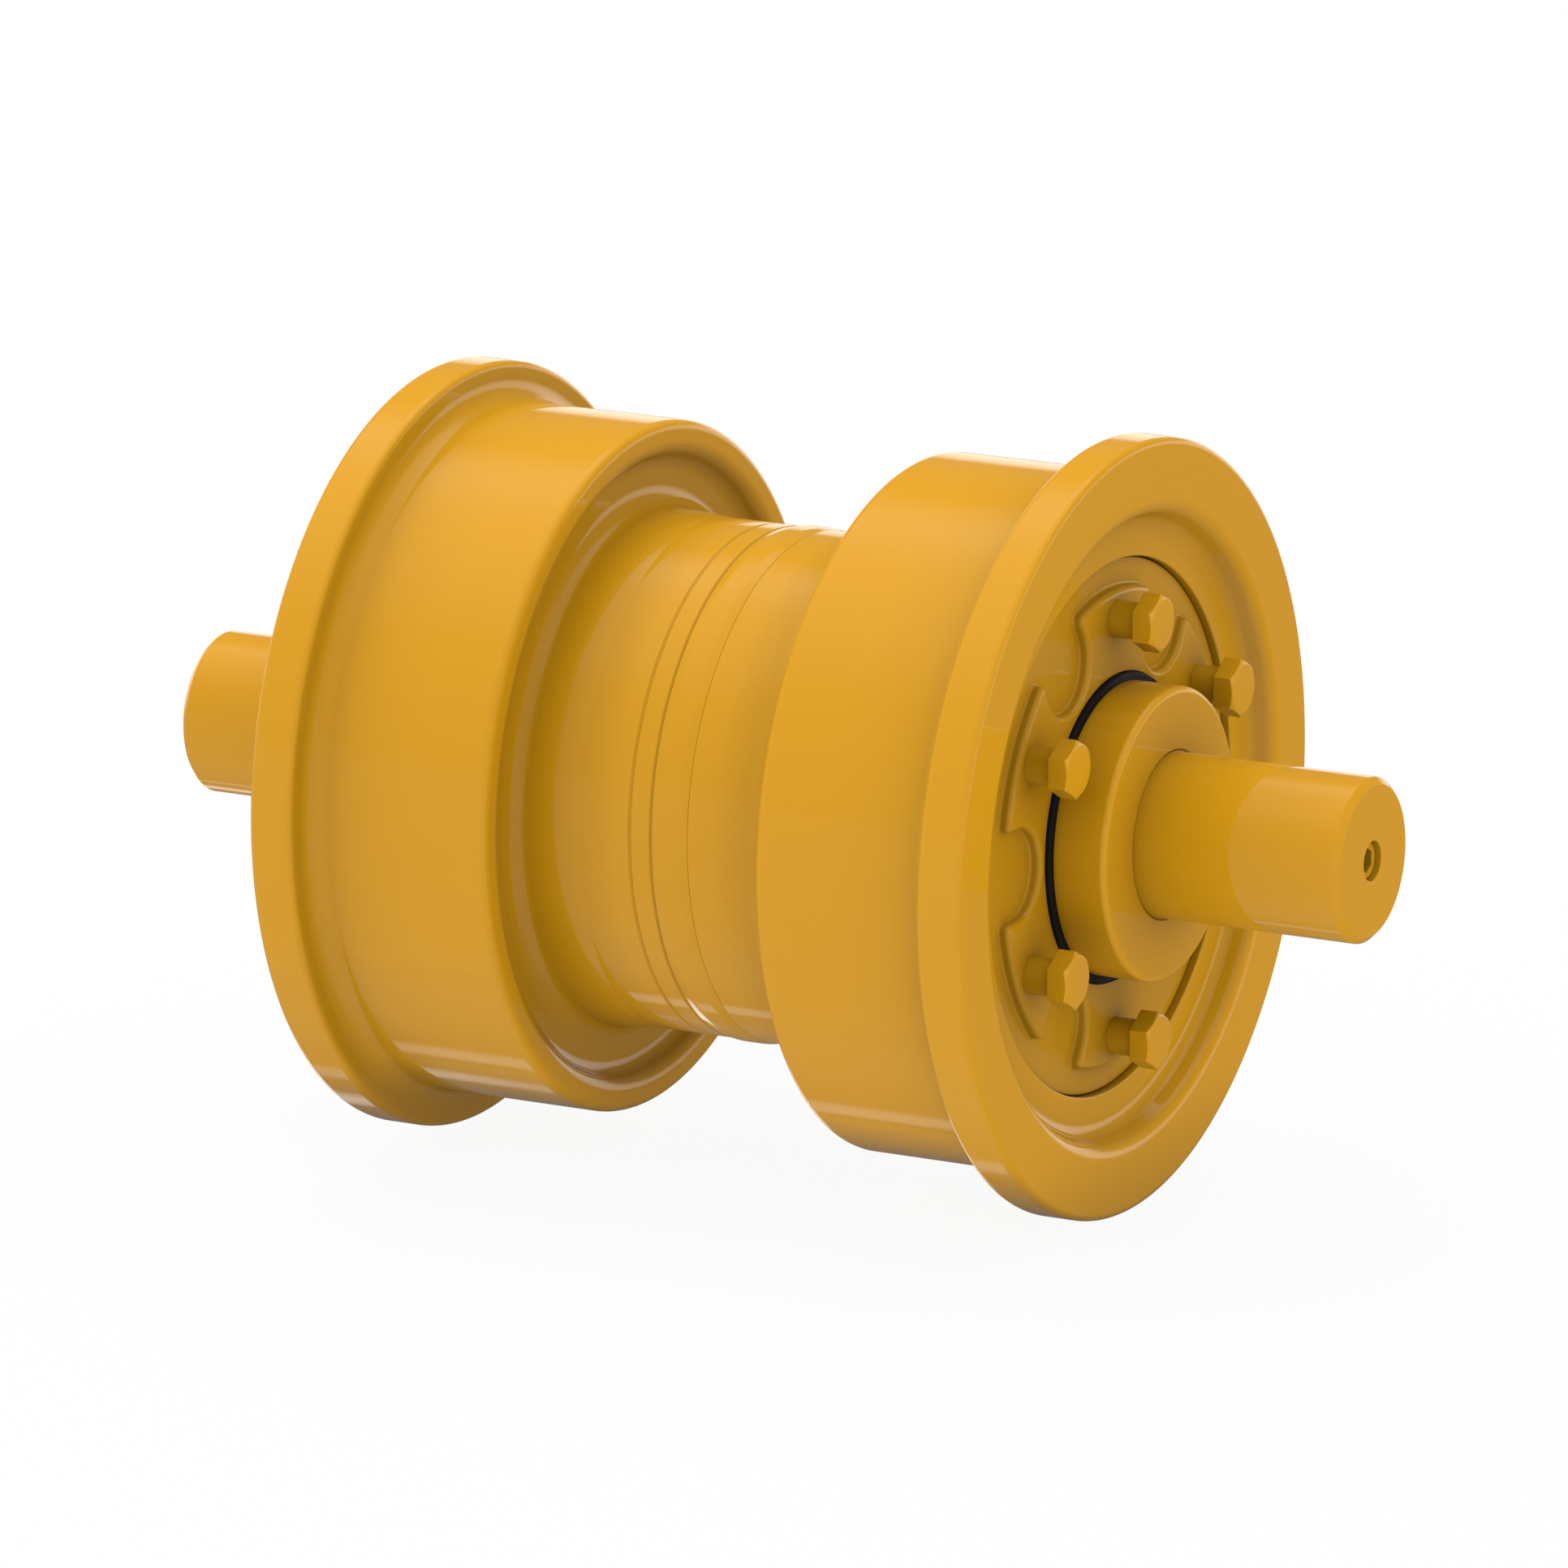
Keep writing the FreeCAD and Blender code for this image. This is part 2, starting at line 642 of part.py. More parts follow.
def seal_ring(label, outward, turned):
    """Metal seal ring: a flat face at the seal plane and a neck that the toric ring grips."""
    body = new_body(label, turned)

    def place(distance):
        return seal_plane + distance if outward else seal_plane - distance

    neck_end = size.seal_face_width + size.seal_neck_length
    revolve(body, f"{label}_form", [
        (place(size.seal_film / 2), seal_bore_radius),
        (place(size.seal_film / 2), seal_face_radius),
        (place(size.seal_face_width), seal_face_radius),
        (place(size.seal_face_width), seal_neck_radius),
        (place(neck_end), seal_neck_radius),
        (place(neck_end), seal_bore_radius),
    ])
    return body


def guard_ring(label, turned):
    """Black rubber ring round the collar, in the mouth of the retainer."""
    body = new_body(label, turned)
    inner = collar_lip + size.guard_ring_inset
    outer = inner + size.guard_ring_width
    form = revolve(body, f"{label}_form", [
        (inner, collar_radius),
        (inner, guard_ring_radius),
        (outer, guard_ring_radius),
        (outer, collar_radius),
    ])
    round_edges(body, form, f"{label}_edge", size.guard_ring_round, corner_ring((outer, guard_ring_radius)))
    return body


def round_ring(label, along, centre_radius, section_radius, turned):
    """Rubber ring of round section about the shaft."""
    ring = doc.addObject("Part::Torus", label)
    ring.Label = label
    ring.setExpression("Radius1", centre_radius.text)
    ring.setExpression("Radius2", section_radius.text)
    quarter = FreeCAD.Rotation(FreeCAD.Vector(0, 1, 0), FULL_TURN / 4)
    ring.Placement = FreeCAD.Placement(FreeCAD.Vector(), quarter)
    ring.setExpression("Placement.Base.x", (-along if turned else along).text)
    return ring


left_barrel_end = [
    (size.weld_left_reach, reservoir_radius),
    (size.weld_left_reach, size.barrel_radius),
    (size.weld_left_reach + size.turned_band_width - size.turned_line_half_width, size.barrel_radius),
    (size.weld_left_reach + size.turned_band_width, size.barrel_radius - size.turned_line_depth),
    (size.weld_left_reach + size.turned_band_width + size.turned_line_half_width, size.barrel_radius),
]
right_barrel_end = [
    (size.weld_right_reach, reservoir_radius),
    (size.weld_right_reach, size.barrel_radius),
]
pieces = [
    rim_half("rim_half_left", left_barrel_end, True),
    rim_half("rim_half_right", right_barrel_end, False),
    weld(),
    shaft(),
    plug(),
]
for side, turned in (("left", True), ("right", False)):
    pieces.append(retainer(f"retainer_{side}", turned))
    pieces.append(bolts(f"retainer_bolts_{side}", turned))
    pieces.append(bush(f"bush_{side}", turned))
    pieces.append(collar(f"end_collar_{side}", turned))
    pieces.append(seal_ring(f"rotating_seal_ring_{side}", False, turned))
    pieces.append(seal_ring(f"fixed_seal_ring_{side}", True, turned))
    pieces.append(guard_ring(f"guard_ring_{side}", turned))
    toric = size.toric_section_radius
    o_ring = size.o_ring_section_radius
    pieces.append(round_ring(f"rotating_toric_{side}", seal_plane - toric_offset, toric_radius, toric, turned))
    pieces.append(round_ring(f"fixed_toric_{side}", seal_plane + toric_offset, toric_radius, toric, turned))
    retainer_ring_radius = spigot_radius - o_ring
    pieces.append(round_ring(f"retainer_o_ring_{side}", retainer_groove, retainer_ring_radius, o_ring, turned))
    collar_ring_radius = collar_seat_radius - o_ring
    pieces.append(round_ring(f"collar_o_ring_{side}", collar_groove, collar_ring_radius, o_ring, turned))

doc.recompute()
for item in doc.Objects:
    if "Invalid" in item.State or "Error" in item.State:
        raise RuntimeError(f"{item.Name} failed: {item.State}")
for piece in pieces:
    if piece.Shape.isNull() or not piece.Shape.isValid():
        raise RuntimeError(f"{piece.Label} has no valid shape")

os.makedirs("parts", exist_ok=True)
for piece in pieces:
    piece.Shape.exportStep(f"parts/{piece.Label}.step")
    print(f"{piece.Label}: solids {len(piece.Shape.Solids)}, volume {piece.Shape.Volume:.0f} mm3")
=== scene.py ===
"""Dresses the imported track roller: turned rims, lobed retainers, bolts, collars, shaft and paint.

Most shapes are profiles carried round the shaft's axis, which is the X axis of the row frame. Sizes are
in millimetres until a surface becomes a mesh, which is in metres.
"""

import logging
import math
from abc import ABC, abstractmethod
from dataclasses import dataclass, field
from enum import Enum
from typing import Any, ClassVar, Sequence

import bmesh
import bpy
import numpy as np
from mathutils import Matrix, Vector


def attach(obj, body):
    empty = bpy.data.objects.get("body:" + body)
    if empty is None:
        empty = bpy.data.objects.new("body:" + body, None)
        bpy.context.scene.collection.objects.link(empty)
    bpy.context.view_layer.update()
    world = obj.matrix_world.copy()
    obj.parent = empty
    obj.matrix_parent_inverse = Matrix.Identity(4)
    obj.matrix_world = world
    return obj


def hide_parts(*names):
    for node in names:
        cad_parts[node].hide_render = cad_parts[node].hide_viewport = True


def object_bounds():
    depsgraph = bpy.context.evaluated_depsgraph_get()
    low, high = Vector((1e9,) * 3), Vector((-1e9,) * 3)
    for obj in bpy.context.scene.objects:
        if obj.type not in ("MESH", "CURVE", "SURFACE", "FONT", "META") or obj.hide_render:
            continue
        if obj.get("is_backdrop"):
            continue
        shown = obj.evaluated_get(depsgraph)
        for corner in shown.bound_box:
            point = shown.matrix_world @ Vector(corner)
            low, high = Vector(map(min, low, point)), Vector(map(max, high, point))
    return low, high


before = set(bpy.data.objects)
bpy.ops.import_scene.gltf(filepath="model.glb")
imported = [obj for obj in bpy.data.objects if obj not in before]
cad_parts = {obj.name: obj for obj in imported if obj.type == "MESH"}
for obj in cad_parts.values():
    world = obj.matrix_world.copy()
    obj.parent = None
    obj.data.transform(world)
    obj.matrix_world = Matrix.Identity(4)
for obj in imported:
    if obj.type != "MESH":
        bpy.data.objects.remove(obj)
LOG = logging.getLogger("track_roller")
MM = 0.001
WHITE = (1.0, 1.0, 1.0, 1.0)
NOISE_MEAN = 0.5
# Outlines: spans in an arc, and millimetres between a straight run's ends and its added points.
ARC_SPANS = 10
RUN_MARGIN = 0.25
SHORTEST_RUN = 1e-6
Colour = tuple[float, float, float]
Corner = tuple[float, float, float]
Direction = tuple[float, float, float]
Limits = tuple[float, float]


class Side(Enum):
    """The two ends of the roller, with the sign of their X."""

    LEFT = -1
    RIGHT = 1

    @property
    def word(self) -> str:
        """The side's name in lower case, as the nodes have it."""
        return self.name.lower()


class Body(Enum):
    """The two rigid bodies of the frame."""

    SHAFT = "shaft"
    ROLLER = "roller"


class Slot(Enum):
    """The record's material slots, which the new pieces name."""

    PAINT = "yellow_paint"
    RUBBER = "black_rubber"


class Signal:
    """A number that a shader works out, with Python's operators adding the Math nodes."""

    def __init__(self, graph: "Graph", socket: bpy.types.NodeSocket | None) -> None:
        """Wraps an output socket.

        Args:
            graph: the material's node graph.
            socket: the output that carries the number, or None for a node without outputs.
        """
        self.graph = graph
        self.socket = socket

    def _maths(self, operation: str, *values: Any) -> "Signal":
        """Adds one Math node.

        Args:
            operation: the node's operation.
            values: its inputs, signals or numbers.

        Returns:
            The node's output.
        """
        return self.graph.node("ShaderNodeMath", {"operation": operation}, dict(enumerate(values)))

    def __add__(self, other: Any) -> "Signal":
        """Sum."""
        return self._maths("ADD", self, other)

    def __radd__(self, other: Any) -> "Signal":
        """Reflected sum."""
        return self._maths("ADD", other, self)

    def __sub__(self, other: Any) -> "Signal":
        """Difference."""
        return self._maths("SUBTRACT", self, other)

    def __rsub__(self, other: Any) -> "Signal":
        """Reflected difference."""
        return self._maths("SUBTRACT", other, self)

    def __mul__(self, other: Any) -> "Signal":
        """Product."""
        return self._maths("MULTIPLY", self, other)

    def __rmul__(self, other: Any) -> "Signal":
        """Reflected product."""
        return self._maths("MULTIPLY", other, self)


class Graph:
    """Node graph of a material or of the world."""

    def __init__(self, owner: bpy.types.Material | bpy.types.World) -> None:
        """Starts an empty graph in the owner.

        Args:
            owner: the material or the world.
        """
        owner.use_nodes = True
        self.tree = owner.node_tree
        self.tree.nodes.clear()

    def node(self, kind: str, settings: dict[str, Any], sockets: dict[Any, Any], output: Any = 0) -> Signal:
        """Adds a node.

        Args:
            kind: the node's type.
            settings: attributes that are set before its sockets.
            sockets: values or signals by input name or number.
            output: name or number of the output to return.

        Returns:
            The chosen output.
        """
        made = self.tree.nodes.new(kind)
        for key, value in settings.items():
            setattr(made, key, value)
        for key, value in sockets.items():
            if isinstance(value, Signal):
                self.tree.links.new(value.socket, made.inputs[key])
            else:
                made.inputs[key].default_value = value
        return Signal(self, made.outputs[output] if made.outputs else None)

    def noise(self, scale: float, detail: float = 2.0) -> Signal:
        """Noise from 0 to 1 on object coordinates.

        Args:
            scale: repeats a metre.
            detail: number of finer layers.

        Returns:
            The noise.
        """
        place = self.node("ShaderNodeTexCoord", {}, {}, "Object")
        return self.node("ShaderNodeTexNoise", {}, {"Vector": place, "Scale": scale, "Detail": detail}, "Fac")

    def blend(self, factor: Signal, low: Any, high: Any) -> Signal:
        """Colour that runs from low to high.

        Args:
            factor: 0 for low and 1 for high.
            low: colour or signal at 0.
            high: colour or signal at 1.

        Returns:
            The mixed colour.
        """
        # Its sockets for colours have the same names as those for numbers, so they go by place.
        return self.node("ShaderNodeMix", {"data_type": "RGBA"}, {"Factor": factor, 6: low, 7: high}, 2)

    def ease(self, value: Signal, limits: Limits) -> Signal:
        """Smooth step from 0 to 1.

        Args:
            value: the number that is followed.
            limits: its values at 0 and at 1.

        Returns:
            The step.
        """
        start, end = limits
        settings = {"interpolation_type": "SMOOTHSTEP"}
        return self.node("ShaderNodeMapRange", settings, {"Value": value, "From Min": start, "From Max": end})

    def ray(self, kind: str) -> Signal:
        """Tells one kind of ray from the others.

        Args:
            kind: the Light Path node's output, such as Is Camera Ray.

        Returns:
            1 for rays of that kind and 0 for others.
        """
        return self.node("ShaderNodeLightPath", {}, {}, kind)

    def bump(self, height: Signal) -> Signal:
        """Normal of a surface with small heights.

        Args:
            height: the height in metres.

        Returns:
            The normal.
        """
        return self.node("ShaderNodeBump", {}, {"Strength": 1.0, "Distance": 1.0, "Height": height})

    def finish(self, sockets: dict[str, Any]) -> None:
        """Ends a material's graph with a Principled shader and the output.

        Args:
            sockets: the shader's values or signals by input name.
        """
        shader = self.node("ShaderNodeBsdfPrincipled", {}, sockets)
        self.node("ShaderNodeOutputMaterial", {}, {"Surface": shader})


@dataclass(frozen=True)
class PaintFinish:
    """Glossy yellow machine paint, sprayed over forged, turned or cast steel."""

    name: str
    colour: Colour = (0.745, 0.352, 0.006)
    thin_colour: Colour = (0.725, 0.341, 0.0055)
    # Painted shade: the dark colour, reach and samples of the occlusion darkening in recesses and corners.
    recess_colour: Colour = (0.25, 0.12, 0.002)
    recess_reach: float = 0.05
    recess_samples: int = 8
    bounced_colour: Colour = (0.55, 0.51, 0.32)
    roughness: float = 0.5
    roughness_spread: float = 0.08
    specular: float = 0.05
    coat_weight: float = 0.5
    coat_roughness: float = 0.02
    drift_scale: float = 9.0
    drift_detail: float = 3.0
    peel_scale: float = 420.0
    peel_height: float = 0.000008
    grain_scale: float = 90.0
    grain_detail: float = 3.0
    grain_height: float = 0.00001

    def material(self) -> bpy.types.Material:
        """Builds the paint: colour drift, painted shade that darkens its recesses, orange peel over the
        metal's own grain.

        Light that bounces off it is nearly grey, so that recesses keep the paint's hue.

        Returns:
            The material.
        """
        made = bpy.data.materials.new(self.name)
        graph = Graph(made)
        drift = graph.noise(self.drift_scale, self.drift_detail)
        open_paint = graph.blend(drift, (*self.thin_colour, 1.0), (*self.colour, 1.0))
        # Painted shade: an occlusion node blends the paint towards a dark colour in recesses, corners and
        # creases, where shade falls.
        settings, reach = {"samples": self.recess_samples}, {"Distance": self.recess_reach}
        openness = graph.node("ShaderNodeAmbientOcclusion", settings, reach, "AO")
        seen = graph.blend(openness, (*self.recess_colour, 1.0), open_paint)
        colour = graph.blend(graph.ray("Is Diffuse Ray"), seen, (*self.bounced_colour, 1.0))
        peel = graph.noise(self.peel_scale)
        grain = graph.noise(self.grain_scale, self.grain_detail)
        sockets = {
            "Base Color": colour,
            "Roughness": self.roughness + (drift - NOISE_MEAN) * self.roughness_spread,
            "Normal": graph.bump(peel * self.peel_height + grain * self.grain_height),
            "Specular IOR Level": self.specular,
            "Coat Weight": self.coat_weight,
            "Coat Roughness": self.coat_roughness,
        }
        graph.finish(sockets)
        return made


@dataclass(frozen=True)
class PlainFinish:
    """Rubber, bronze or lapped steel: one colour with a fine grain in gloss and height."""

    name: str
    colour: Colour
    metallic: float
    roughness: float
    grain_scale: float
    grain_height: float
    specular: float = 0.5
    darkest: float = 0.8
    grain_detail: float = 4.0
    roughness_spread: float = 0.2

    def material(self) -> bpy.types.Material:
        """Builds the finish.

        Returns:
            The material.
        """
        made = bpy.data.materials.new(self.name)
        graph = Graph(made)
        grain = graph.noise(self.grain_scale, self.grain_detail)
        darker = tuple(part * self.darkest for part in self.colour)
        sockets = {
            "Base Color": graph.blend(grain, (*darker, 1.0), (*self.colour, 1.0)),
            "Metallic": self.metallic,
            "Roughness": self.roughness + (grain - NOISE_MEAN) * self.roughness_spread,
            "Specular IOR Level": self.specular,
            "Normal": graph.bump(grain * self.grain_height),
        }
        graph.finish(sockets)
        return made


Finish = PaintFinish | PlainFinish
MACHINED_PAINT = PaintFinish("machined_yellow_paint")
CAST_PAINT = PaintFinish(
    "cast_yellow_paint",
    colour=(0.65, 0.308, 0.005),
    thin_colour=(0.62, 0.293, 0.0045),
    grain_height=0.00003,
    grain_scale=160.0,
)
RUBBER = PlainFinish("black_rubber", (0.005, 0.005, 0.005), 0.0, 0.6, 300.0, 0.00003, 0.15)
BRONZE = PlainFinish("bearing_bronze", (0.62, 0.40, 0.17), 1.0, 0.3, 500.0, 0.00001)
STEEL = PlainFinish("lapped_steel", (0.55, 0.55, 0.57), 1.0, 0.2, 700.0, 0.000005)


@dataclass
class Dresser:
    """Gives pieces and CAD nodes their finish, and pieces their body."""

    materials: dict[str, bpy.types.Material] = field(default_factory=dict)

    def material(self, finish: Finish) -> bpy.types.Material:
        """The finish's material, made once.

        Args:
            finish: the finish.

        Returns:
            Its material.
        """
        if finish.name not in self.materials:
            self.materials[finish.name] = finish.material()
        return self.materials[finish.name]

    def place(self, piece: bpy.types.Object, finish: Finish, body: Body, slot: Slot, *nodes: str) -> None:
        """Finishes a new piece, sets it riding and hides the nodes that it stands for.

        Args:
            piece: the new piece.
            finish: its finish.
            body: the body that it moves with.
            slot: the record's slot; not used.
            nodes: the CAD nodes that it replaces.
        """
        piece.data.materials.append(self.material(finish))
        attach(piece, body.value)
        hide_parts(*nodes)
        LOG.info("%s: %d faces on %s", piece.name, len(piece.data.polygons), body.value)

    def repaint(self, node: str, finish: Finish) -> None:
        """Gives a CAD node that stays a new material in each of its slots.

        Args:
            node: the node's name.
            finish: its finish.
        """
        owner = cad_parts[node]
        if not owner.data.materials:
            owner.data.materials.append(None)
        for index in range(len(owner.data.materials)):
            owner.data.materials[index] = self.material(finish)
        LOG.info("%s: kept from the frame", node)


def rounded_outline(corners: Sequence[Corner], closed: bool) -> np.ndarray:
    """Profile through corners, each replaced by an arc of its own radius.

    Where the path turns by an angle, the arc starts and ends at radius * tan(angle / 2) from the corner.
    Each straight run also gets a point close to each of its ends, so that its shading stays flat.

    Args:
        corners: along, across and corner radius, in millimetres; radius 0 keeps the corner sharp.
        closed: whether the last corner joins the first.

    Returns:
        Points (n, 2) in millimetres.
    """
    corners_array = np.array([corner[:2] for corner in corners], float)
    count = len(corners)
    runs: list[np.ndarray] = []
    for index in range(count):
        here = corners_array[index]
        radius = corners[index][2]
        ends = not closed and index in (0, count - 1)
        if radius <= 0 or ends:
            runs.append(here[None, :])
            continue
        before = corners_array[index - 1] - here
        after = corners_array[(index + 1) % count] - here
        before /= np.hypot(*before)
        after /= np.hypot(*after)
        half = math.acos(float(np.clip(before @ after, -1.0, 1.0))) / 2
        reach = radius / math.tan(half)
        bisector = (before + after) / np.hypot(*(before + after))
        centre = here + bisector * radius / math.sin(half)
        start = here + before * reach - centre
        end = here + after * reach - centre
        first, last = math.atan2(start[1], start[0]), math.atan2(end[1], end[0])
        turn = (last - first + math.pi) % (2 * math.pi) - math.pi
        angles = first + turn * np.linspace(0.0, 1.0, ARC_SPANS + 1)
        runs.append(centre + radius * np.stack([np.cos(angles), np.sin(angles)], 1))
    points: list[np.ndarray] = []
    spans = count if closed else count - 1
    for index, run in enumerate(runs):
        points.append(run)
        if index < spans:
            start, end = run[-1], runs[(index + 1) % count][0]
            length = float(np.hypot(*(end - start)))
            inset = min(RUN_MARGIN, length / 4)
            if length > SHORTEST_RUN:
                inner = np.array([inset / length, 1 - inset / length])[:, None]
                points.append(start + (end - start) * inner)
    return np.concatenate(points)


def ring_angles(segments: int) -> np.ndarray:
    """Angles of a ring's points.

    Args:
        segments: points in the ring.

    Returns:
        Angles (segments,) spread evenly over a full turn.
    """
    return np.linspace(0.0, 2 * math.pi, segments, endpoint=False)


def turned(rings: np.ndarray | Sequence[tuple[Any, Any]], segments: int) -> np.ndarray:
    """Rings about X: the point (x, r) becomes (x, r sin a, r cos a) for each angle a.

    Args:
        rings: each ring's x and r in millimetres, which are arrays (segments,) where they change round it.
        segments: points in each ring.

    Returns:
        Grid (rings, segments, 3) in millimetres.
    """
    angles = ring_angles(segments)
    flat, sin, cos = np.ones(segments), np.sin(angles), np.cos(angles)
    return np.stack([np.stack([along * flat, radius * sin, radius * cos], 1) for along, radius in rings])


def hexagon(flats: float, segments: int) -> np.ndarray:
    """Radius of a hexagon at the angles of a ring.

    It is half the flats over the cosine of the angle from the nearest flat's middle.

    Args:
        flats: size across flats.
        segments: points in the ring.

    Returns:
        Radii (segments,), in the unit of the flats.
    """
    sixth = math.pi / 3
    return flats / 2 / np.cos((ring_angles(segments) % sixth) - sixth / 2)


def mirrored(points: np.ndarray, side: Side) -> np.ndarray:
    """Turns points of the +X end half way round Z for the -X end: x and y change sign.

    Args:
        points: points (..., 3) of the +X end.
        side: the end that they are wanted for.

    Returns:
        The points of that end.
    """
    return points * np.array([side.value, side.value, 1.0])


@dataclass
class Shell:
    """Mesh data gathered from several grids."""

    points: list[np.ndarray] = field(default_factory=list)
    faces: list[np.ndarray] = field(default_factory=list)
    caps: list[np.ndarray] = field(default_factory=list)
    total: int = 0

    def add_grid(self, grid: np.ndarray, rings_closed: bool) -> None:
        """Adds a grid of rings as quads; its columns always close on themselves.

        A face joins ring i and column j with the next of each. Where the rings don't close, the first and
        last are capped by triangles to their centre.

        Args:
            grid: points (rings, columns, 3) in metres.
            rings_closed: whether the last ring joins the first.
        """
        rings, columns = grid.shape[:2]
        number = np.arange(rings * columns).reshape(rings, columns) + self.total
        lower = number if rings_closed else number[:-1]
        upper = np.roll(number, -1, 0) if rings_closed else number[1:]
        quads = np.stack([lower, np.roll(lower, -1, 1), np.roll(upper, -1, 1), upper], 2)
        self.points.append(grid.reshape(-1, 3))
        self.faces.append(quads.reshape(-1, 4))
        self.total += rings * columns
        if not rings_closed:
            for ring in (0, -1):
                row = number[ring]
                self.caps.append(np.stack([np.full(columns, self.total), row, np.roll(row, -1)], 1))
                self.points.append(grid[ring].mean(0)[None, :])
                self.total += 1

    def piece(self, name: str, sharp: float) -> bpy.types.Object:
        """Makes the object, with smooth faces and creases at sharp edges.

        Args:
            name: the piece's name.
            sharp: angle in degrees past which an edge is a crease.

        Returns:
            The object, at the origin, with its faces pointing outwards.
        """
        mesh = bpy.data.meshes.new(name)
        points = np.concatenate(self.points)
        faces = [face for block in (*self.faces, *self.caps) for face in block.tolist()]
        mesh.from_pydata(points, [], faces)
        mesh.validate()
        made = bpy.data.objects.new(name, mesh)
        bpy.context.scene.collection.objects.link(made)
        work = bmesh.new()
        work.from_mesh(mesh)
        bmesh.ops.recalc_face_normals(work, faces=work.faces)
        work.to_mesh(mesh)
        work.free()
        mesh.polygons.foreach_set("use_smooth", np.ones(len(mesh.polygons), bool))
        mesh.set_sharp_from_angle(angle=math.radians(sharp))
        mesh.update()
        return made


@dataclass
class Part(ABC):
    """A piece of the roller that stands for one CAD node. Sizes in millimetres.

    A subclass says its name and its node, in which {} is the side's word, and how it looks and moves.
    """

    side: Side = Side.RIGHT
    segments: int = 288
    name: ClassVar[str] = ""
    node: ClassVar[str] = ""
    finish: ClassVar[Finish] = MACHINED_PAINT
    body: ClassVar[Body] = Body.ROLLER
    slot: ClassVar[Slot] = Slot.PAINT
    sharp: ClassVar[float] = 32.0

    @abstractmethod
    def shell(self) -> Shell:
        """The part's surface.

        Returns:
            Its mesh data, in metres.
        """

    def turned_shell(self, corners: Sequence[Corner]) -> Shell:
        """Shell of one closed turned profile, on the part's own side.

        Args:
            corners: the profile's corners: along, radius and rounding.

        Returns:
            The mesh data.
        """
        shell = Shell()
        grid = turned(rounded_outline(corners, closed=True), self.segments) * MM
        shell.add_grid(mirrored(grid, self.side), rings_closed=True)
        return shell

    def dress(self, dresser: Dresser) -> None:
        """Builds the part's object and has it finished and placed.

        Args:
            dresser: what finishes and places it.
        """
        word = self.side.word
        piece = self.shell().piece(self.name.format(word), self.sharp)
        dresser.place(piece, self.finish, self.body, self.slot, self.node.format(word))


@dataclass
class Rim(Part):
    """Forged half rim with its flange, tread and dishes."""

    barrel_end: float = 11.7
    tread_inner: float = 63.0
    flange_inner: float = 146.5
    flange_outer: float = 166.5
    inner_dish_floor: float = 71.5
    outer_dish_floor: float = 154.7
    seat: float = 138.0
    reservoir_end: float = 74.0
    flange_radius: float = 165.0
    tread_radius: float = 148.3
    inner_dish_radius: float = 135.5
    inner_dish_foot: float = 131.0
    outer_dish_radius: float = 135.0
    outer_dish_foot: float = 129.5
    barrel_radius: float = 109.3
    barrel_turned_reach: float = 40.0
    barrel_foot: float = 111.8
    counterbore_radius: float = 114.0
    bore_radius: float = 70.0
    reservoir_radius: float = 82.0
    groove_at: float = 0.0
    groove_half: float = 0.7
    groove_depth: float = 0.7
    groove_edge_round: float = 0.15
    groove_root_round: float = 0.2
    end_bevel: float = 0.0
    end_bevel_depth: float = 0.7
    end_round: float = 0.3
    barrel_root_round: float = 9.0
    inner_foot_round: float = 7.5
    dish_lip_round: float = 7.0
    tread_edge_round: float = 4.0
    tread_root_round: float = 9.0
    flange_edge_round: float = 3.0
    outer_foot_round: float = 7.0
    counterbore_edge_round: float = 0.8
    name = "rim_{}"
    node = "rim_half_{}"

    def barrel_corners(self) -> list[Corner]:
        """Corners of the barrel's end by the weld, with its bevel and turned groove where it has them.

        Returns:
            Along, radius and rounding of each corner.
        """
        corners = [(self.barrel_end, self.reservoir_radius, 0.0)]
        if self.end_bevel:
            corners.append((self.barrel_end, self.barrel_radius - self.end_bevel_depth, 0.0))
        corners.append((self.barrel_end + self.end_bevel, self.barrel_radius, self.end_round))
        if self.groove_at:
            corners += [
                (self.groove_at - self.groove_half, self.barrel_radius, self.groove_edge_round),
                (self.groove_at, self.barrel_radius - self.groove_depth, self.groove_root_round),
                (self.groove_at + self.groove_half, self.barrel_radius, self.groove_edge_round),
            ]
        return corners

    def shell(self) -> Shell:
        """The rim: barrel, inner dish, tread, flange, outer dish, counterbore, bore and reservoir."""
        corners = self.barrel_corners() + [
            (self.barrel_turned_reach, self.barrel_radius, 0.0),
            (self.inner_dish_floor, self.barrel_foot, self.barrel_root_round),
            (self.inner_dish_floor, self.inner_dish_foot, self.inner_foot_round),
            (self.tread_inner, self.inner_dish_radius, self.dish_lip_round),
            (self.tread_inner, self.tread_radius, self.tread_edge_round),
            (self.flange_inner, self.tread_radius, self.tread_root_round),
            (self.flange_inner, self.flange_radius, self.flange_edge_round),
            (self.flange_outer, self.flange_radius, self.flange_edge_round),
            (self.flange_outer, self.outer_dish_radius, self.dish_lip_round),
            (self.outer_dish_floor, self.outer_dish_foot, self.outer_foot_round),
            (self.outer_dish_floor, self.counterbore_radius, self.counterbore_edge_round),
            (self.seat, self.counterbore_radius, 0.0),
            (self.seat, self.bore_radius, 0.0),
            (self.reservoir_end, self.bore_radius, 0.0),
            (self.reservoir_end, self.reservoir_radius, 0.0),
        ]
        return self.turned_shell(corners)


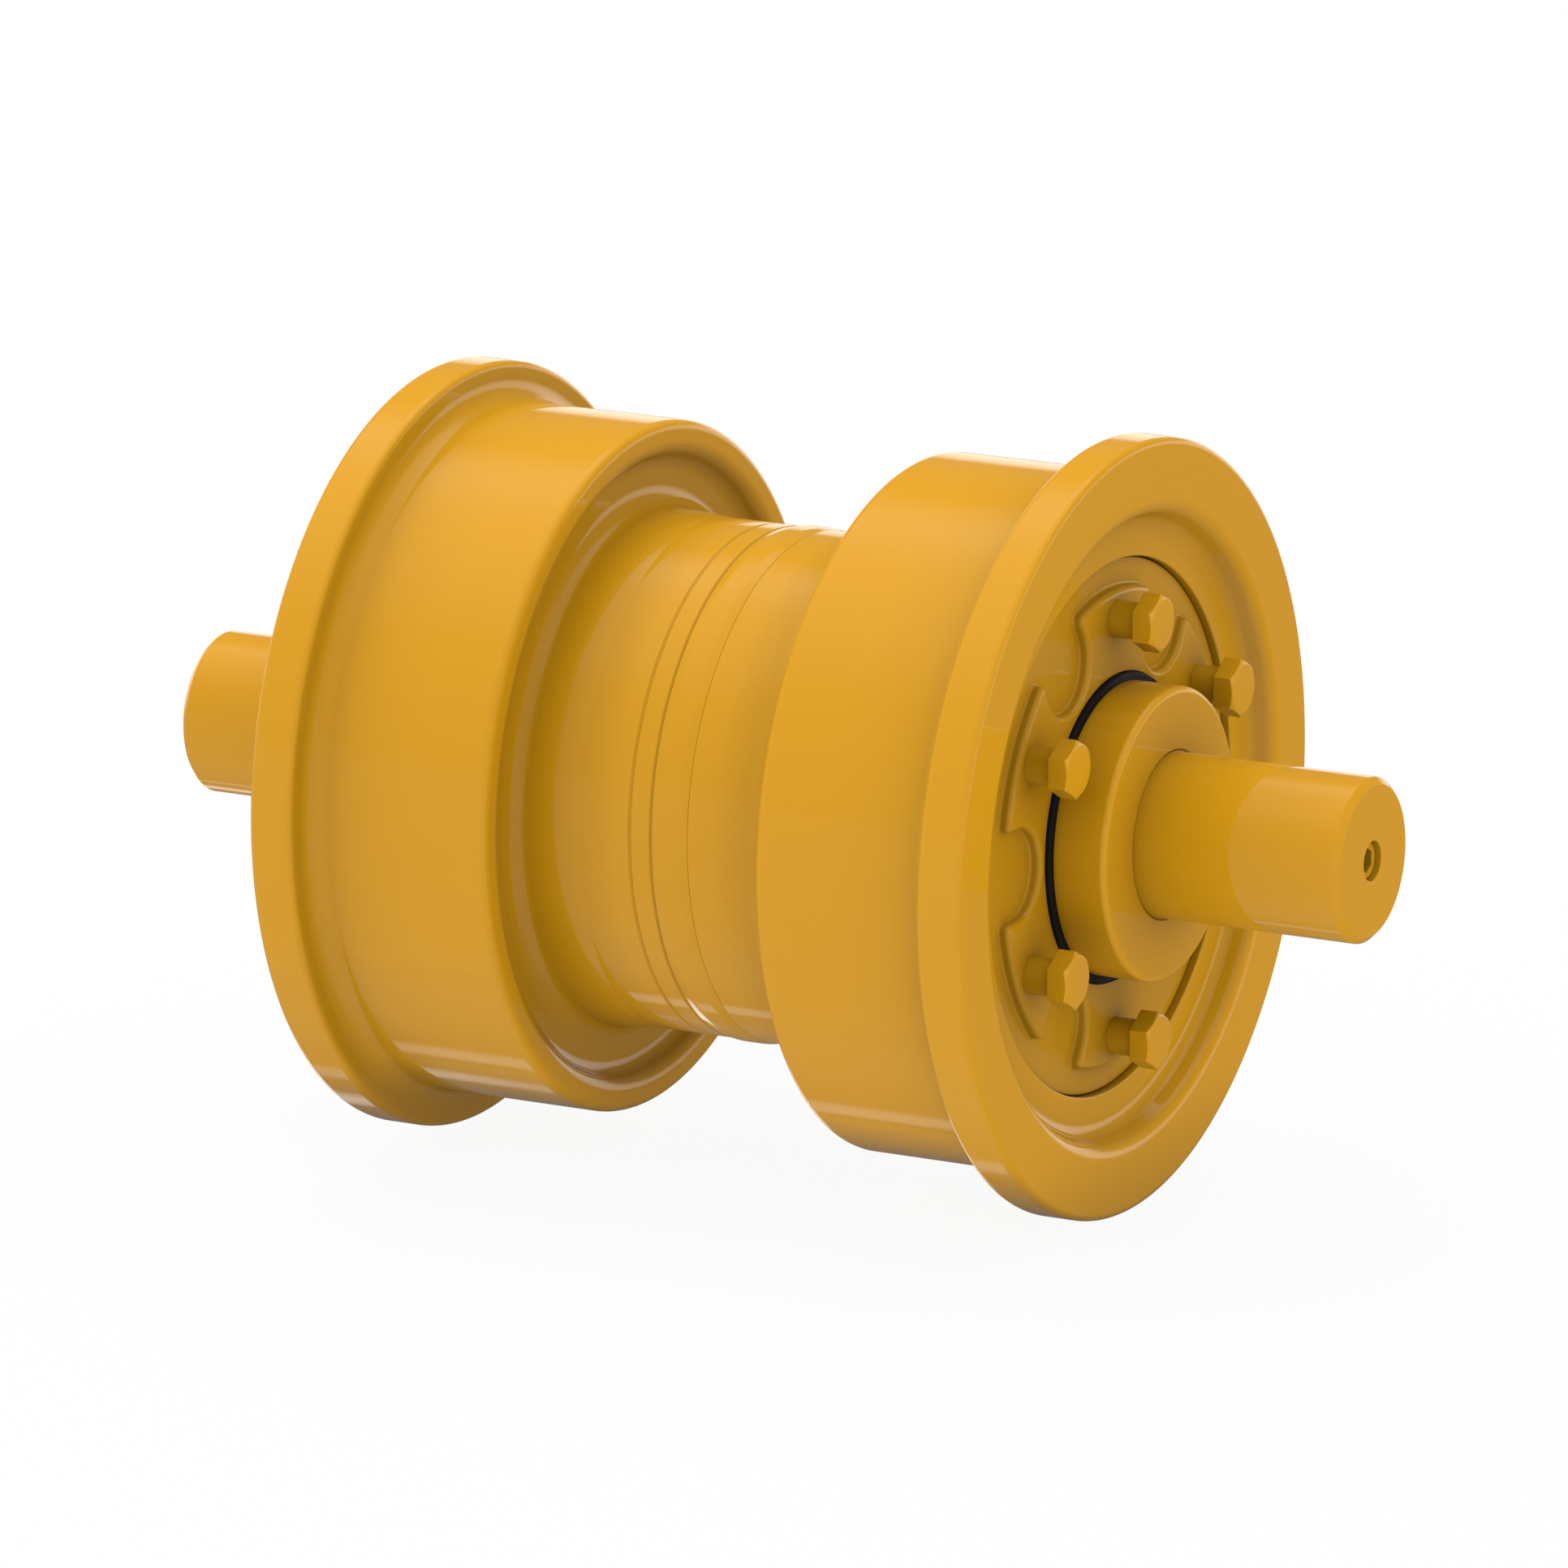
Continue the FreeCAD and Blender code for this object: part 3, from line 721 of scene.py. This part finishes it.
@dataclass
class Weld(Part):
    """Weld bead between the two barrels."""

    left: float = -5.8
    right: float = 11.7
    inner_radius: float = 82.0
    barrel_radius: float = 109.3
    crown: float = 0.75
    crown_round: float = 12.0
    toe_width: float = 0.8
    toe_round: float = 0.4
    left_shoulder: float = 4.5
    right_shoulder: float = 4.0
    groove_depth: float = 0.7
    edge_round: float = 0.2
    name = "weld_bead"
    node = "centre_weld"

    def shell(self) -> Shell:
        """The bead: a low crown between the groove on its left and the barrel on its right."""
        crown_radius = self.barrel_radius + self.crown
        corners = [
            (self.left, self.inner_radius, 0.0),
            (self.left, self.barrel_radius - self.groove_depth, self.edge_round),
            (self.left + self.toe_width, self.barrel_radius, self.toe_round),
            (self.left + self.left_shoulder, crown_radius, self.crown_round),
            (self.right - self.right_shoulder, crown_radius, self.crown_round),
            (self.right, self.barrel_radius, self.edge_round),
            (self.right, self.inner_radius, 0.0),
        ]
        return self.turned_shell(corners)


@dataclass
class Retainer(Part):
    """Cast seal retainer: turned plate and sleeve, with a six-lobed hub."""

    sleeve_end: float = 20.2
    seat: float = 138.0
    plate_face: float = 151.5
    hub_face: float = 156.5
    mouth_floor: float = 149.0
    seal_floor: float = 139.0
    sleeve_radius: float = 69.95
    bush_radius: float = 47.02
    seal_radius: float = 57.0
    mouth_radius: float = 66.0
    plate_radius: float = 113.6
    hub_radius: float = 102.0
    pocket_centre: float = 89.5
    pocket_half: float = 19.5
    tip_round: float = 3.0
    top_round: float = 2.5
    root_round: float = 1.2
    mouth_round: float = 0.5
    mouth_margin: float = 0.2
    sleeve_edge_round: float = 0.5
    seat_edge_round: float = 0.3
    plate_edge_round: float = 1.0
    seal_edge_round: float = 0.3
    skirt: float = 1.0
    lobes: int = 6
    mouth_power: float = 0.58
    face_shares: tuple[float, ...] = (0.1, 0.5, 0.9)
    floor_points: int = 25
    wall_points: int = 5
    tip_points: int = 11
    rim_points: int = 12
    mouth_steps: int = 4
    round_steps: int = 8
    name = "retainer_casting_{}"
    node = "retainer_{}"
    finish = CAST_PAINT

    def half_outline(self, offset: float) -> np.ndarray:
        """Half of one lobe's side of a pocket, from the pocket's middle to the lobe's middle.

        Round the pocket's floor it is an arc about the pocket's centre, then a straight wall, then the arc of
        the lobe's tip, then the hub's own circle. offset moves it away from the metal, square to itself.

        Args:
            offset: distance out of the metal, in millimetres.

        Returns:
            Points (n, 2) in the plane across the shaft, with the pocket's middle on the first axis.
        """
        half = self.pocket_half - offset
        floor_angles = np.linspace(math.pi, math.pi / 2, self.floor_points)
        floor = np.stack([self.pocket_centre + half * np.cos(floor_angles), half * np.sin(floor_angles)], 1)
        tip_side = self.pocket_half + self.tip_round
        tip_reach = self.hub_radius - self.tip_round
        tip_centre = np.array([math.sqrt(tip_reach**2 - tip_side**2), tip_side])
        tip_angle = math.atan2(tip_centre[1], tip_centre[0])
        tip_radius = self.tip_round + offset
        tip_angles = np.linspace(-math.pi / 2, tip_angle, self.tip_points)
        tip = tip_centre + tip_radius * np.stack([np.cos(tip_angles), np.sin(tip_angles)], 1)
        wall = floor[-1] + (tip[0] - floor[-1]) * np.linspace(0, 1, self.wall_points)[1:-1, None]
        rim_angles = np.linspace(tip_angle, math.pi / self.lobes, self.rim_points)[1:]
        rim = (self.hub_radius + offset) * np.stack([np.cos(rim_angles), np.sin(rim_angles)], 1)
        return np.concatenate([floor, wall, tip, rim])

    @property
    def turns(self) -> np.ndarray:
        """Angles of the pockets (lobes,)."""
        return np.arange(self.lobes) * 2 * math.pi / self.lobes

    def outline(self, offset: float) -> np.ndarray:
        """Closed outline of all lobes: each half outline, its mirror image, and their turns.

        Args:
            offset: distance out of the metal, in millimetres.

        Returns:
            Points (n, 2) in the plane across the shaft.
        """
        half = self.half_outline(offset)
        mirror = (half * np.array([1.0, -1.0]))[::-1]
        sector = np.concatenate([mirror, half[1:-1]])
        cos, sin = np.cos(self.turns)[:, None], np.sin(self.turns)[:, None]
        first = sector[:, 0] * cos - sector[:, 1] * sin
        second = sector[:, 0] * sin + sector[:, 1] * cos
        return np.stack([first.ravel(), second.ravel()], 1)

    def mouth_circle(self, offset: float) -> np.ndarray:
        """Points on a unit circle that go with those of the outline at an offset.

        In each half sector the angle is the half pitch times a power of the share of the outline's length.
        The power keeps the straight rows between the mouth and the outline clear of the pockets.

        Args:
            offset: the outline's distance out of the metal, in millimetres.

        Returns:
            Points (n, 2), one for each point of that outline.
        """
        half = self.half_outline(offset)
        steps = np.hypot(*np.diff(half, axis=0).T)
        share = np.concatenate([[0.0], np.cumsum(steps)]) / steps.sum()
        angles = math.pi / self.lobes * share**self.mouth_power
        sector = np.concatenate([-angles[::-1], angles[1:-1]])
        every = (self.turns[:, None] + sector).ravel()
        return np.stack([np.cos(every), np.sin(every)], 1)

    def hub_grid(self) -> np.ndarray:
        """Rings of the lobed hub, from the mouth over the top and down the lobes' walls.

        Returns:
            Grid (rings, columns, 3) in metres, of the +X end.
        """
        top = self.outline(-self.top_round)
        circle = self.mouth_circle(-self.top_round)
        height = self.hub_face - self.plate_face
        shoulder = height - self.mouth_round
        levels = (-self.skirt, shoulder - self.mouth_margin, shoulder)
        rings = [(circle * self.mouth_radius, level) for level in levels]
        for turn in np.linspace(0, math.pi / 2, self.mouth_steps + 1)[1:]:
            radius = self.mouth_radius + self.mouth_round * (1 - math.cos(turn))
            rings.append((circle * radius, height - self.mouth_round * (1 - math.sin(turn))))
        inner = rings[-1][0]
        rings += [(inner + (top - inner) * share, height) for share in self.face_shares]
        quarter = np.linspace(0, math.pi / 2, self.round_steps + 1)
        for turn in quarter:
            offset = -self.top_round * (1 - math.sin(turn))
            rings.append((self.outline(offset), height - self.top_round * (1 - math.cos(turn))))
        for turn in quarter:
            offset = self.root_round * (1 - math.cos(turn))
            rings.append((self.outline(offset), self.root_round * (1 - math.sin(turn))))
        rings.append((self.outline(self.root_round), -self.skirt))
        along = np.array([[level] for _, level in rings]) + self.plate_face
        across = np.stack([ring for ring, _ in rings])
        return np.concatenate([np.repeat(along[:, :, None], across.shape[1], 1), across], 2) * MM

    def shell(self) -> Shell:
        """The retainer: plate, sleeve and seal seat as one turned body, and the hub on its plate."""
        corners = [
            (self.sleeve_end, self.bush_radius, 0.0),
            (self.sleeve_end, self.sleeve_radius, self.sleeve_edge_round),
            (self.seat, self.sleeve_radius, 0.0),
            (self.seat, self.plate_radius, self.seat_edge_round),
            (self.plate_face, self.plate_radius, self.plate_edge_round),
            (self.plate_face, self.mouth_radius, 0.0),
            (self.mouth_floor, self.mouth_radius, 0.0),
            (self.mouth_floor, self.seal_radius, self.seal_edge_round),
            (self.seal_floor, self.seal_radius, 0.0),
            (self.seal_floor, self.bush_radius, 0.0),
        ]
        shell = self.turned_shell(corners)
        shell.add_grid(mirrored(self.hub_grid(), self.side), rings_closed=True)
        return shell


@dataclass
class Bolts(Part):
    """Six retainer bolts of one end: hexagon head, plain shoulder and thinner end."""

    segments: int = 96
    circle_radius: float = 90.0
    thread_end: float = 110.5
    thread_chamfer: float = 1.0
    seat: float = 156.5
    head_back: float = 168.8
    head_face: float = 177.8
    thread_radius: float = 6.0
    shoulder_radius: float = 8.0
    seat_edge: float = 0.1
    neck: float = 0.3
    neck_step: float = 0.08
    flats: float = 22.0
    crown_inset: float = 0.3
    chamfer_slope: float = 0.567
    edge_round: float = 0.25
    edge_lean: float = 0.3
    face_step: float = 0.05
    face_inset: float = 0.5
    count: int = 6
    name = "hex_bolts_{}"
    node = "retainer_bolts_{}"
    sharp = 25.0

    def head_rings(self) -> list[tuple[Any, Any]]:
        """Rings of the hexagon head, whose sides end where the cone of the chamfer meets them.

        Returns:
            Along and radius of each ring.
        """
        side = hexagon(self.flats, self.segments)
        crown = self.flats / 2 - self.crown_inset
        edge = self.head_face - (side - crown) * self.chamfer_slope
        return [
            (self.head_back, side - self.edge_round),
            (self.head_back + self.edge_round, side),
            (edge - self.edge_round, side),
            (edge + self.edge_round * self.edge_lean, side - self.edge_round),
            (self.head_face - self.face_step, crown - self.face_step),
            (self.head_face, crown - self.face_inset),
        ]

    def shank_rings(self) -> list[tuple[Any, Any]]:
        """Rings of the shank, from the thread's end over the shoulder to the head's back.

        Returns:
            Along and radius of each ring.
        """
        return [
            (self.thread_end, self.thread_radius - self.thread_chamfer),
            (self.thread_end + self.thread_chamfer, self.thread_radius),
            (self.seat - self.seat_edge, self.thread_radius),
            (self.seat, self.thread_radius + self.seat_edge),
            (self.seat, self.shoulder_radius - self.seat_edge),
            (self.seat + self.seat_edge, self.shoulder_radius),
            (self.head_back - self.neck, self.shoulder_radius),
            (self.head_back - self.neck_step, self.shoulder_radius + self.neck_step),
            (self.head_back, self.shoulder_radius + self.neck),
        ]

    def shell(self) -> Shell:
        """The six bolts; bolt k stands at 60 k degrees from the top and is turned by 60 k."""
        shell = Shell()
        one = turned(self.shank_rings() + self.head_rings(), self.segments)
        one = one + np.array([0.0, 0.0, self.circle_radius])
        for turn in ring_angles(self.count):
            cos, sin = math.cos(turn), math.sin(turn)
            turning = np.array([[1.0, 0.0, 0.0], [0.0, cos, -sin], [0.0, sin, cos]])
            shell.add_grid(mirrored(one @ turning.T, self.side) * MM, rings_closed=False)
        return shell


@dataclass
class Collar(Part):
    """End collar, cupped towards the roller."""

    segments: int = 240
    inner: float = 148.0
    lip: float = 151.0
    seat: float = 160.0
    outer: float = 182.2
    bore_radius: float = 35.42
    hub_radius: float = 44.0
    cup_radius: float = 57.0
    radius: float = 62.3
    bore_chamfer: float = 0.8
    inner_edge_round: float = 0.3
    lip_edge_round: float = 0.5
    face_edge_round: float = 2.8
    bore_edge_round: float = 0.2
    name = "collar_{}"
    node = "end_collar_{}"
    body = Body.SHAFT

    def shell(self) -> Shell:
        """The collar: hub, cup and lip towards the roller, rounded face away from it."""
        corners = [
            (self.inner, self.bore_radius, 0.0),
            (self.inner, self.hub_radius, self.inner_edge_round),
            (self.seat, self.hub_radius, 0.0),
            (self.seat, self.cup_radius, 0.0),
            (self.lip, self.cup_radius, self.inner_edge_round),
            (self.lip, self.radius, self.lip_edge_round),
            (self.outer, self.radius, self.face_edge_round),
            (self.outer, self.bore_radius + self.bore_chamfer, self.bore_edge_round),
            (self.outer - self.bore_chamfer, self.bore_radius, 0.0),
        ]
        return self.turned_shell(corners)


@dataclass
class GuardRing(Part):
    """Black rubber ring round the collar."""

    segments: int = 240
    inner: float = 151.8
    outer: float = 158.6
    inner_radius: float = 62.3
    outer_radius: float = 65.7
    inner_edge_round: float = 0.4
    outer_edge_round: float = 1.2
    name = "rubber_guard_{}"
    node = "guard_ring_{}"
    finish = RUBBER
    body = Body.SHAFT
    slot = Slot.RUBBER

    def shell(self) -> Shell:
        """The ring: a flat band with rounded outer edges."""
        corners = [
            (self.inner, self.inner_radius, 0.0),
            (self.inner, self.outer_radius, self.inner_edge_round),
            (self.outer, self.outer_radius, self.outer_edge_round),
            (self.outer, self.inner_radius, 0.0),
        ]
        return self.turned_shell(corners)


@dataclass
class ShaftBar(Part):
    """Fixed shaft with its thrust flange, journals, chamfered ends and plug hole."""

    segments: int = 240
    half_length: float = 275.0
    end_radius: float = 35.0
    collar_outer: float = 182.2
    seat_radius: float = 35.4
    journal_end: float = 148.0
    journal_radius: float = 41.0
    flange_half: float = 12.0
    flange_radius: float = 58.0
    chamfer: float = 2.8
    edge_round: float = 0.5
    face_cap_radius: float = 8.75
    plug_radius: float = 8.5
    plug_depth: float = 21.5
    plug_edge_round: float = 0.25
    plug_cap_radius: float = 4.25
    name = "shaft_bar"
    node = "shaft"
    body = Body.SHAFT

    def shell(self) -> Shell:
        """The shaft, from the -X end's face to the bottom of the plug hole."""
        nose = [
            (self.half_length, self.end_radius - self.chamfer, self.edge_round),
            (self.half_length - self.chamfer, self.end_radius, self.edge_round),
            (self.collar_outer, self.end_radius, 0.0),
            (self.collar_outer, self.seat_radius, 0.0),
            (self.journal_end, self.seat_radius, 0.0),
            (self.journal_end, self.journal_radius, self.edge_round),
            (self.flange_half, self.journal_radius, 0.0),
            (self.flange_half, self.flange_radius, self.edge_round),
        ]
        left = [(-along, radius, rounding) for along, radius, rounding in nose]
        hole = [
            (self.half_length, self.plug_radius, self.plug_edge_round),
            (self.half_length - self.plug_depth, self.plug_radius, 0.0),
            (self.half_length - self.plug_depth, self.plug_cap_radius, 0.0),
        ]
        face = [(-self.half_length, self.face_cap_radius, 0.0)]
        outline = rounded_outline(face + left + nose[::-1] + hole, closed=False)
        shell = Shell()
        shell.add_grid(turned(outline, self.segments) * MM, rings_closed=False)
        return shell


@dataclass
class Plug(Part):
    """Oil plug with a hexagon socket."""

    segments: int = 96
    face: float = 272.5
    length: float = 14.0
    radius: float = 8.47
    end_chamfer: float = 0.3
    edge: float = 0.8
    edge_step: float = 0.1
    socket_flats: float = 9.5
    socket_chamfer: float = 0.35
    socket_depth: float = 8.0
    socket_cone: float = 0.6
    socket_cone_share: float = 0.5
    name = "socket_plug"
    node = "oil_plug"
    body = Body.SHAFT
    sharp = 25.0

    def shell(self) -> Shell:
        """The plug, from its hidden end over the face to the bottom of the socket."""
        socket = hexagon(self.socket_flats, self.segments)
        end, floor = self.face - self.length, self.face - self.socket_depth
        rings = [
            (end, self.radius - self.end_chamfer),
            (end + self.end_chamfer, self.radius),
            (self.face - self.edge - self.edge_step, self.radius),
            (self.face - self.edge + self.edge_step, self.radius - self.edge_step),
            (self.face - self.edge_step, self.radius - self.edge + self.edge_step),
            (self.face, self.radius - self.edge - self.edge_step),
            (self.face, socket + self.socket_chamfer),
            (self.face - self.socket_chamfer, socket),
            (floor, socket),
            (floor - self.socket_cone, socket * self.socket_cone_share),
        ]
        shell = Shell()
        shell.add_grid(turned(rings, self.segments) * MM, rings_closed=False)
        return shell


@dataclass
class Inside:
    """Bush, seal and O-rings of one end, which stay as the frame has them and only get their finish."""

    side: Side
    bronze: tuple[str, ...] = ("bush",)
    steel: tuple[str, ...] = ("rotating_seal_ring", "fixed_seal_ring")
    rubber: tuple[str, ...] = ("rotating_toric", "fixed_toric", "retainer_o_ring", "collar_o_ring")

    def dress(self, dresser: Dresser) -> None:
        """Has each node repainted.

        Args:
            dresser: what repaints it.
        """
        for finish, nodes in ((BRONZE, self.bronze), (STEEL, self.steel), (RUBBER, self.rubber)):
            for node in nodes:
                dresser.repaint(f"{node}_{self.side.word}", finish)


def aimed(data: bpy.types.Light | bpy.types.Camera, place: Vector, times: float = 1.0) -> bpy.types.Object:
    """Object of a lamp or camera that faces the roller.

    Args:
        data: the lamp or camera, whose name it gets.
        place: where it stands, in metres.
        times: how many times as far out it goes.

    Returns:
        The object.
    """
    holder = bpy.data.objects.new(data.name, data)
    holder.location = place * times
    holder.rotation_mode = "QUATERNION"
    holder.rotation_quaternion = (-place).to_track_quat("-Z", "Y")
    bpy.context.scene.collection.objects.link(holder)
    return holder


@dataclass(frozen=True)
class Softbox:
    """Square area lamp aimed at the roller. It lights surfaces and stays out of their reflections."""

    name: str
    place: Direction
    size: float
    watts: float

    def build(self) -> None:
        """Adds the lamp."""
        lamp = bpy.data.lights.new(self.name, "AREA")
        lamp.size = self.size
        lamp.energy = self.watts
        aimed(lamp, Vector(self.place)).visible_glossy = False


@dataclass(frozen=True)
class Card:
    """Round bright patch of the room that only reflections see, with the cosines of its edge and core."""

    direction: Direction
    rise: Limits
    strength: float

    def brighten(self, graph: Graph, direction: Signal) -> Signal:
        """Brightness that the card adds, which rises from its edge to its core.

        Args:
            graph: the world's graph.
            direction: the reflection's direction.

        Returns:
            The brightness added in that direction.
        """
        towards = {0: direction, 1: self.direction}
        nearness = graph.node("ShaderNodeVectorMath", {"operation": "DOT_PRODUCT"}, towards, "Value")
        return graph.ease(nearness, self.rise) * self.strength


@dataclass
class Studio:
    """Pale floor, soft surroundings, an overhead lamp and the photograph's camera. Sizes in metres.

    The limits called rise and fall are heights or depths of a unit direction, between which a part of the
    room's reflection comes or goes.
    """

    ambient: float = 0.94
    reflected_dip: float = 0.28
    reflected_back_dip: float = 0.55
    reflected_ceiling: float = 0.2
    reflected_back_ceiling: float = 0.5
    reflected_strip: float = 0.95
    reflected_pit: float = 0.78
    behind_rise: Limits = (0.0, 0.45)
    ceiling_rise: Limits = (0.62, 0.85)
    wall_rise: Limits = (0.05, 0.18)
    floor_fall: Limits = (-0.2, -0.06)
    strip_fall: Limits = (0.13, 0.2)
    pit_rise: Limits = (-0.3, 0.4)
    side_card: Card = Card((-0.6, 0.5, -0.62), (0.98, 0.992), 3.5)
    low_card: Card = Card((-0.45, 0.3, -0.84), (0.996, 0.999), 1.2)
    floor_colour: float = 0.8
    floor_white: float = 0.92
    floor_bounced_white: float = 0.6
    floor_reach: float = 25.0
    azimuth: float = 27.63
    elevation: float = 14.50
    distance: float = 5.6442
    lens: float = 306.2
    sensor: float = 36.0
    clip: Limits = (0.1, 200.0)
    lamps: tuple[Softbox, ...] = (Softbox("overhead_softbox", (-1.6, 0.75, 3.9), 4.0, 77.0),)

    def surroundings(self) -> None:
        """White to the camera and an even grey as light, with a soft room in reflections.

        In reflections the room is white at the horizon, dimmer at about 25 degrees and brighter overhead.
        Behind the roller its walls and floor are darker, apart from a narrow bright strip on the horizon
        and two bright cards below on the left.
        """
        world = bpy.data.worlds.new("studio")
        bpy.context.scene.world = world
        graph = Graph(world)
        direction = graph.node("ShaderNodeTexCoord", {}, {}, "Generated")
        height = graph.node("ShaderNodeSeparateXYZ", {}, {"Vector": direction}, "Z")
        depth = graph.node("ShaderNodeSeparateXYZ", {}, {"Vector": direction}, "Y")
        behind = graph.ease(depth, self.behind_rise)
        ceiling = graph.ease(height, self.ceiling_rise)
        wall = graph.ease(height, self.wall_rise) * (1.0 - ceiling)
        above_floor = graph.ease(height, self.floor_fall)
        strip = (1.0 - graph.ease(height, self.strip_fall)) * above_floor * behind
        pit = (1.0 - above_floor) * graph.ease(depth, self.pit_rise)
        room = (
            1.0
            - wall * (self.reflected_dip + behind * self.reflected_back_dip)
            + ceiling * (self.reflected_ceiling + behind * self.reflected_back_ceiling)
            + strip * self.reflected_strip
            - pit * self.reflected_pit
            + self.side_card.brighten(graph, direction)
            + self.low_card.brighten(graph, direction)
        )
        level = self.ambient + graph.ray("Is Glossy Ray") * (room - self.ambient)
        level = level + graph.ray("Is Camera Ray") * (1.0 - level)
        light = graph.node("ShaderNodeBackground", {}, {"Color": WHITE, "Strength": level})
        graph.node("ShaderNodeOutputWorld", {}, {"Surface": light})

    def floor(self, level: float) -> None:
        """Pale floor under the roller: mostly white to the camera, with the roller's soft shadow.

        Reflections look through it into the room, which is pale below too.

        Args:
            level: the floor's height in metres.
        """
        reach = self.floor_reach
        signs = ((-1, -1), (1, -1), (1, 1), (-1, 1))
        corners = [(reach * across, reach * deep, level) for across, deep in signs]
        mesh = bpy.data.meshes.new("floor")
        mesh.from_pydata(corners, [], [(0, 1, 2, 3)])
        made = bpy.data.objects.new("floor", mesh)
        bpy.context.scene.collection.objects.link(made)
        paint = bpy.data.materials.new("pale_floor")
        graph = Graph(paint)
        matt = graph.node("ShaderNodeBsdfDiffuse", {}, {"Color": (*[self.floor_colour] * 3, 1.0)})
        white = graph.node("ShaderNodeEmission", {}, {"Color": WHITE, "Strength": 1.0})
        clear = graph.node("ShaderNodeBsdfTransparent", {}, {})
        seen = graph.ray("Is Camera Ray") * self.floor_white
        share = seen + graph.ray("Is Diffuse Ray") * self.floor_bounced_white
        solid = graph.node("ShaderNodeMixShader", {}, {0: share, 1: matt, 2: white})
        surface = graph.node("ShaderNodeMixShader", {}, {0: graph.ray("Is Glossy Ray"), 1: solid, 2: clear})
        graph.node("ShaderNodeOutputMaterial", {}, {"Surface": surface})
        made.data.materials.append(paint)
        made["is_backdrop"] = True

    def camera(self) -> None:
        """Camera at the photograph's angle, which looks at the origin."""
        azimuth, elevation = math.radians(self.azimuth), math.radians(self.elevation)
        level = math.cos(elevation)
        back = Vector((math.sin(azimuth) * level, -math.cos(azimuth) * level, math.sin(elevation)))
        data = bpy.data.cameras.new("photo_camera")
        data.sensor_width = self.sensor
        data.lens = self.lens
        data.clip_start, data.clip_end = self.clip
        bpy.context.scene.camera = aimed(data, back, self.distance)

    def build(self, level: float) -> None:
        """Sets the whole studio up.

        Args:
            level: the floor's height in metres.
        """
        bpy.context.scene.view_settings.view_transform = "Standard"
        self.surroundings()
        self.floor(level)
        self.camera()
        for lamp in self.lamps:
            lamp.build()


def main() -> None:
    """Builds the studio, then the parts of the middle, then those of each end."""
    logging.basicConfig(level=logging.INFO)
    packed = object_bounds()
    Studio().build(packed[0].z)
    dresser = Dresser()
    left_rim = Rim(Side.LEFT, barrel_end=5.8, groove_at=15.7, groove_half=0.9, end_bevel=0.8)
    middle = (left_rim, Rim(Side.RIGHT), Weld(), ShaftBar(), Plug())
    ends = (kind(side) for side in Side for kind in (Retainer, Bolts, Collar, GuardRing, Inside))
    for part in (*middle, *ends):
        part.dress(dresser)


if __name__ == "__main__":
    main()
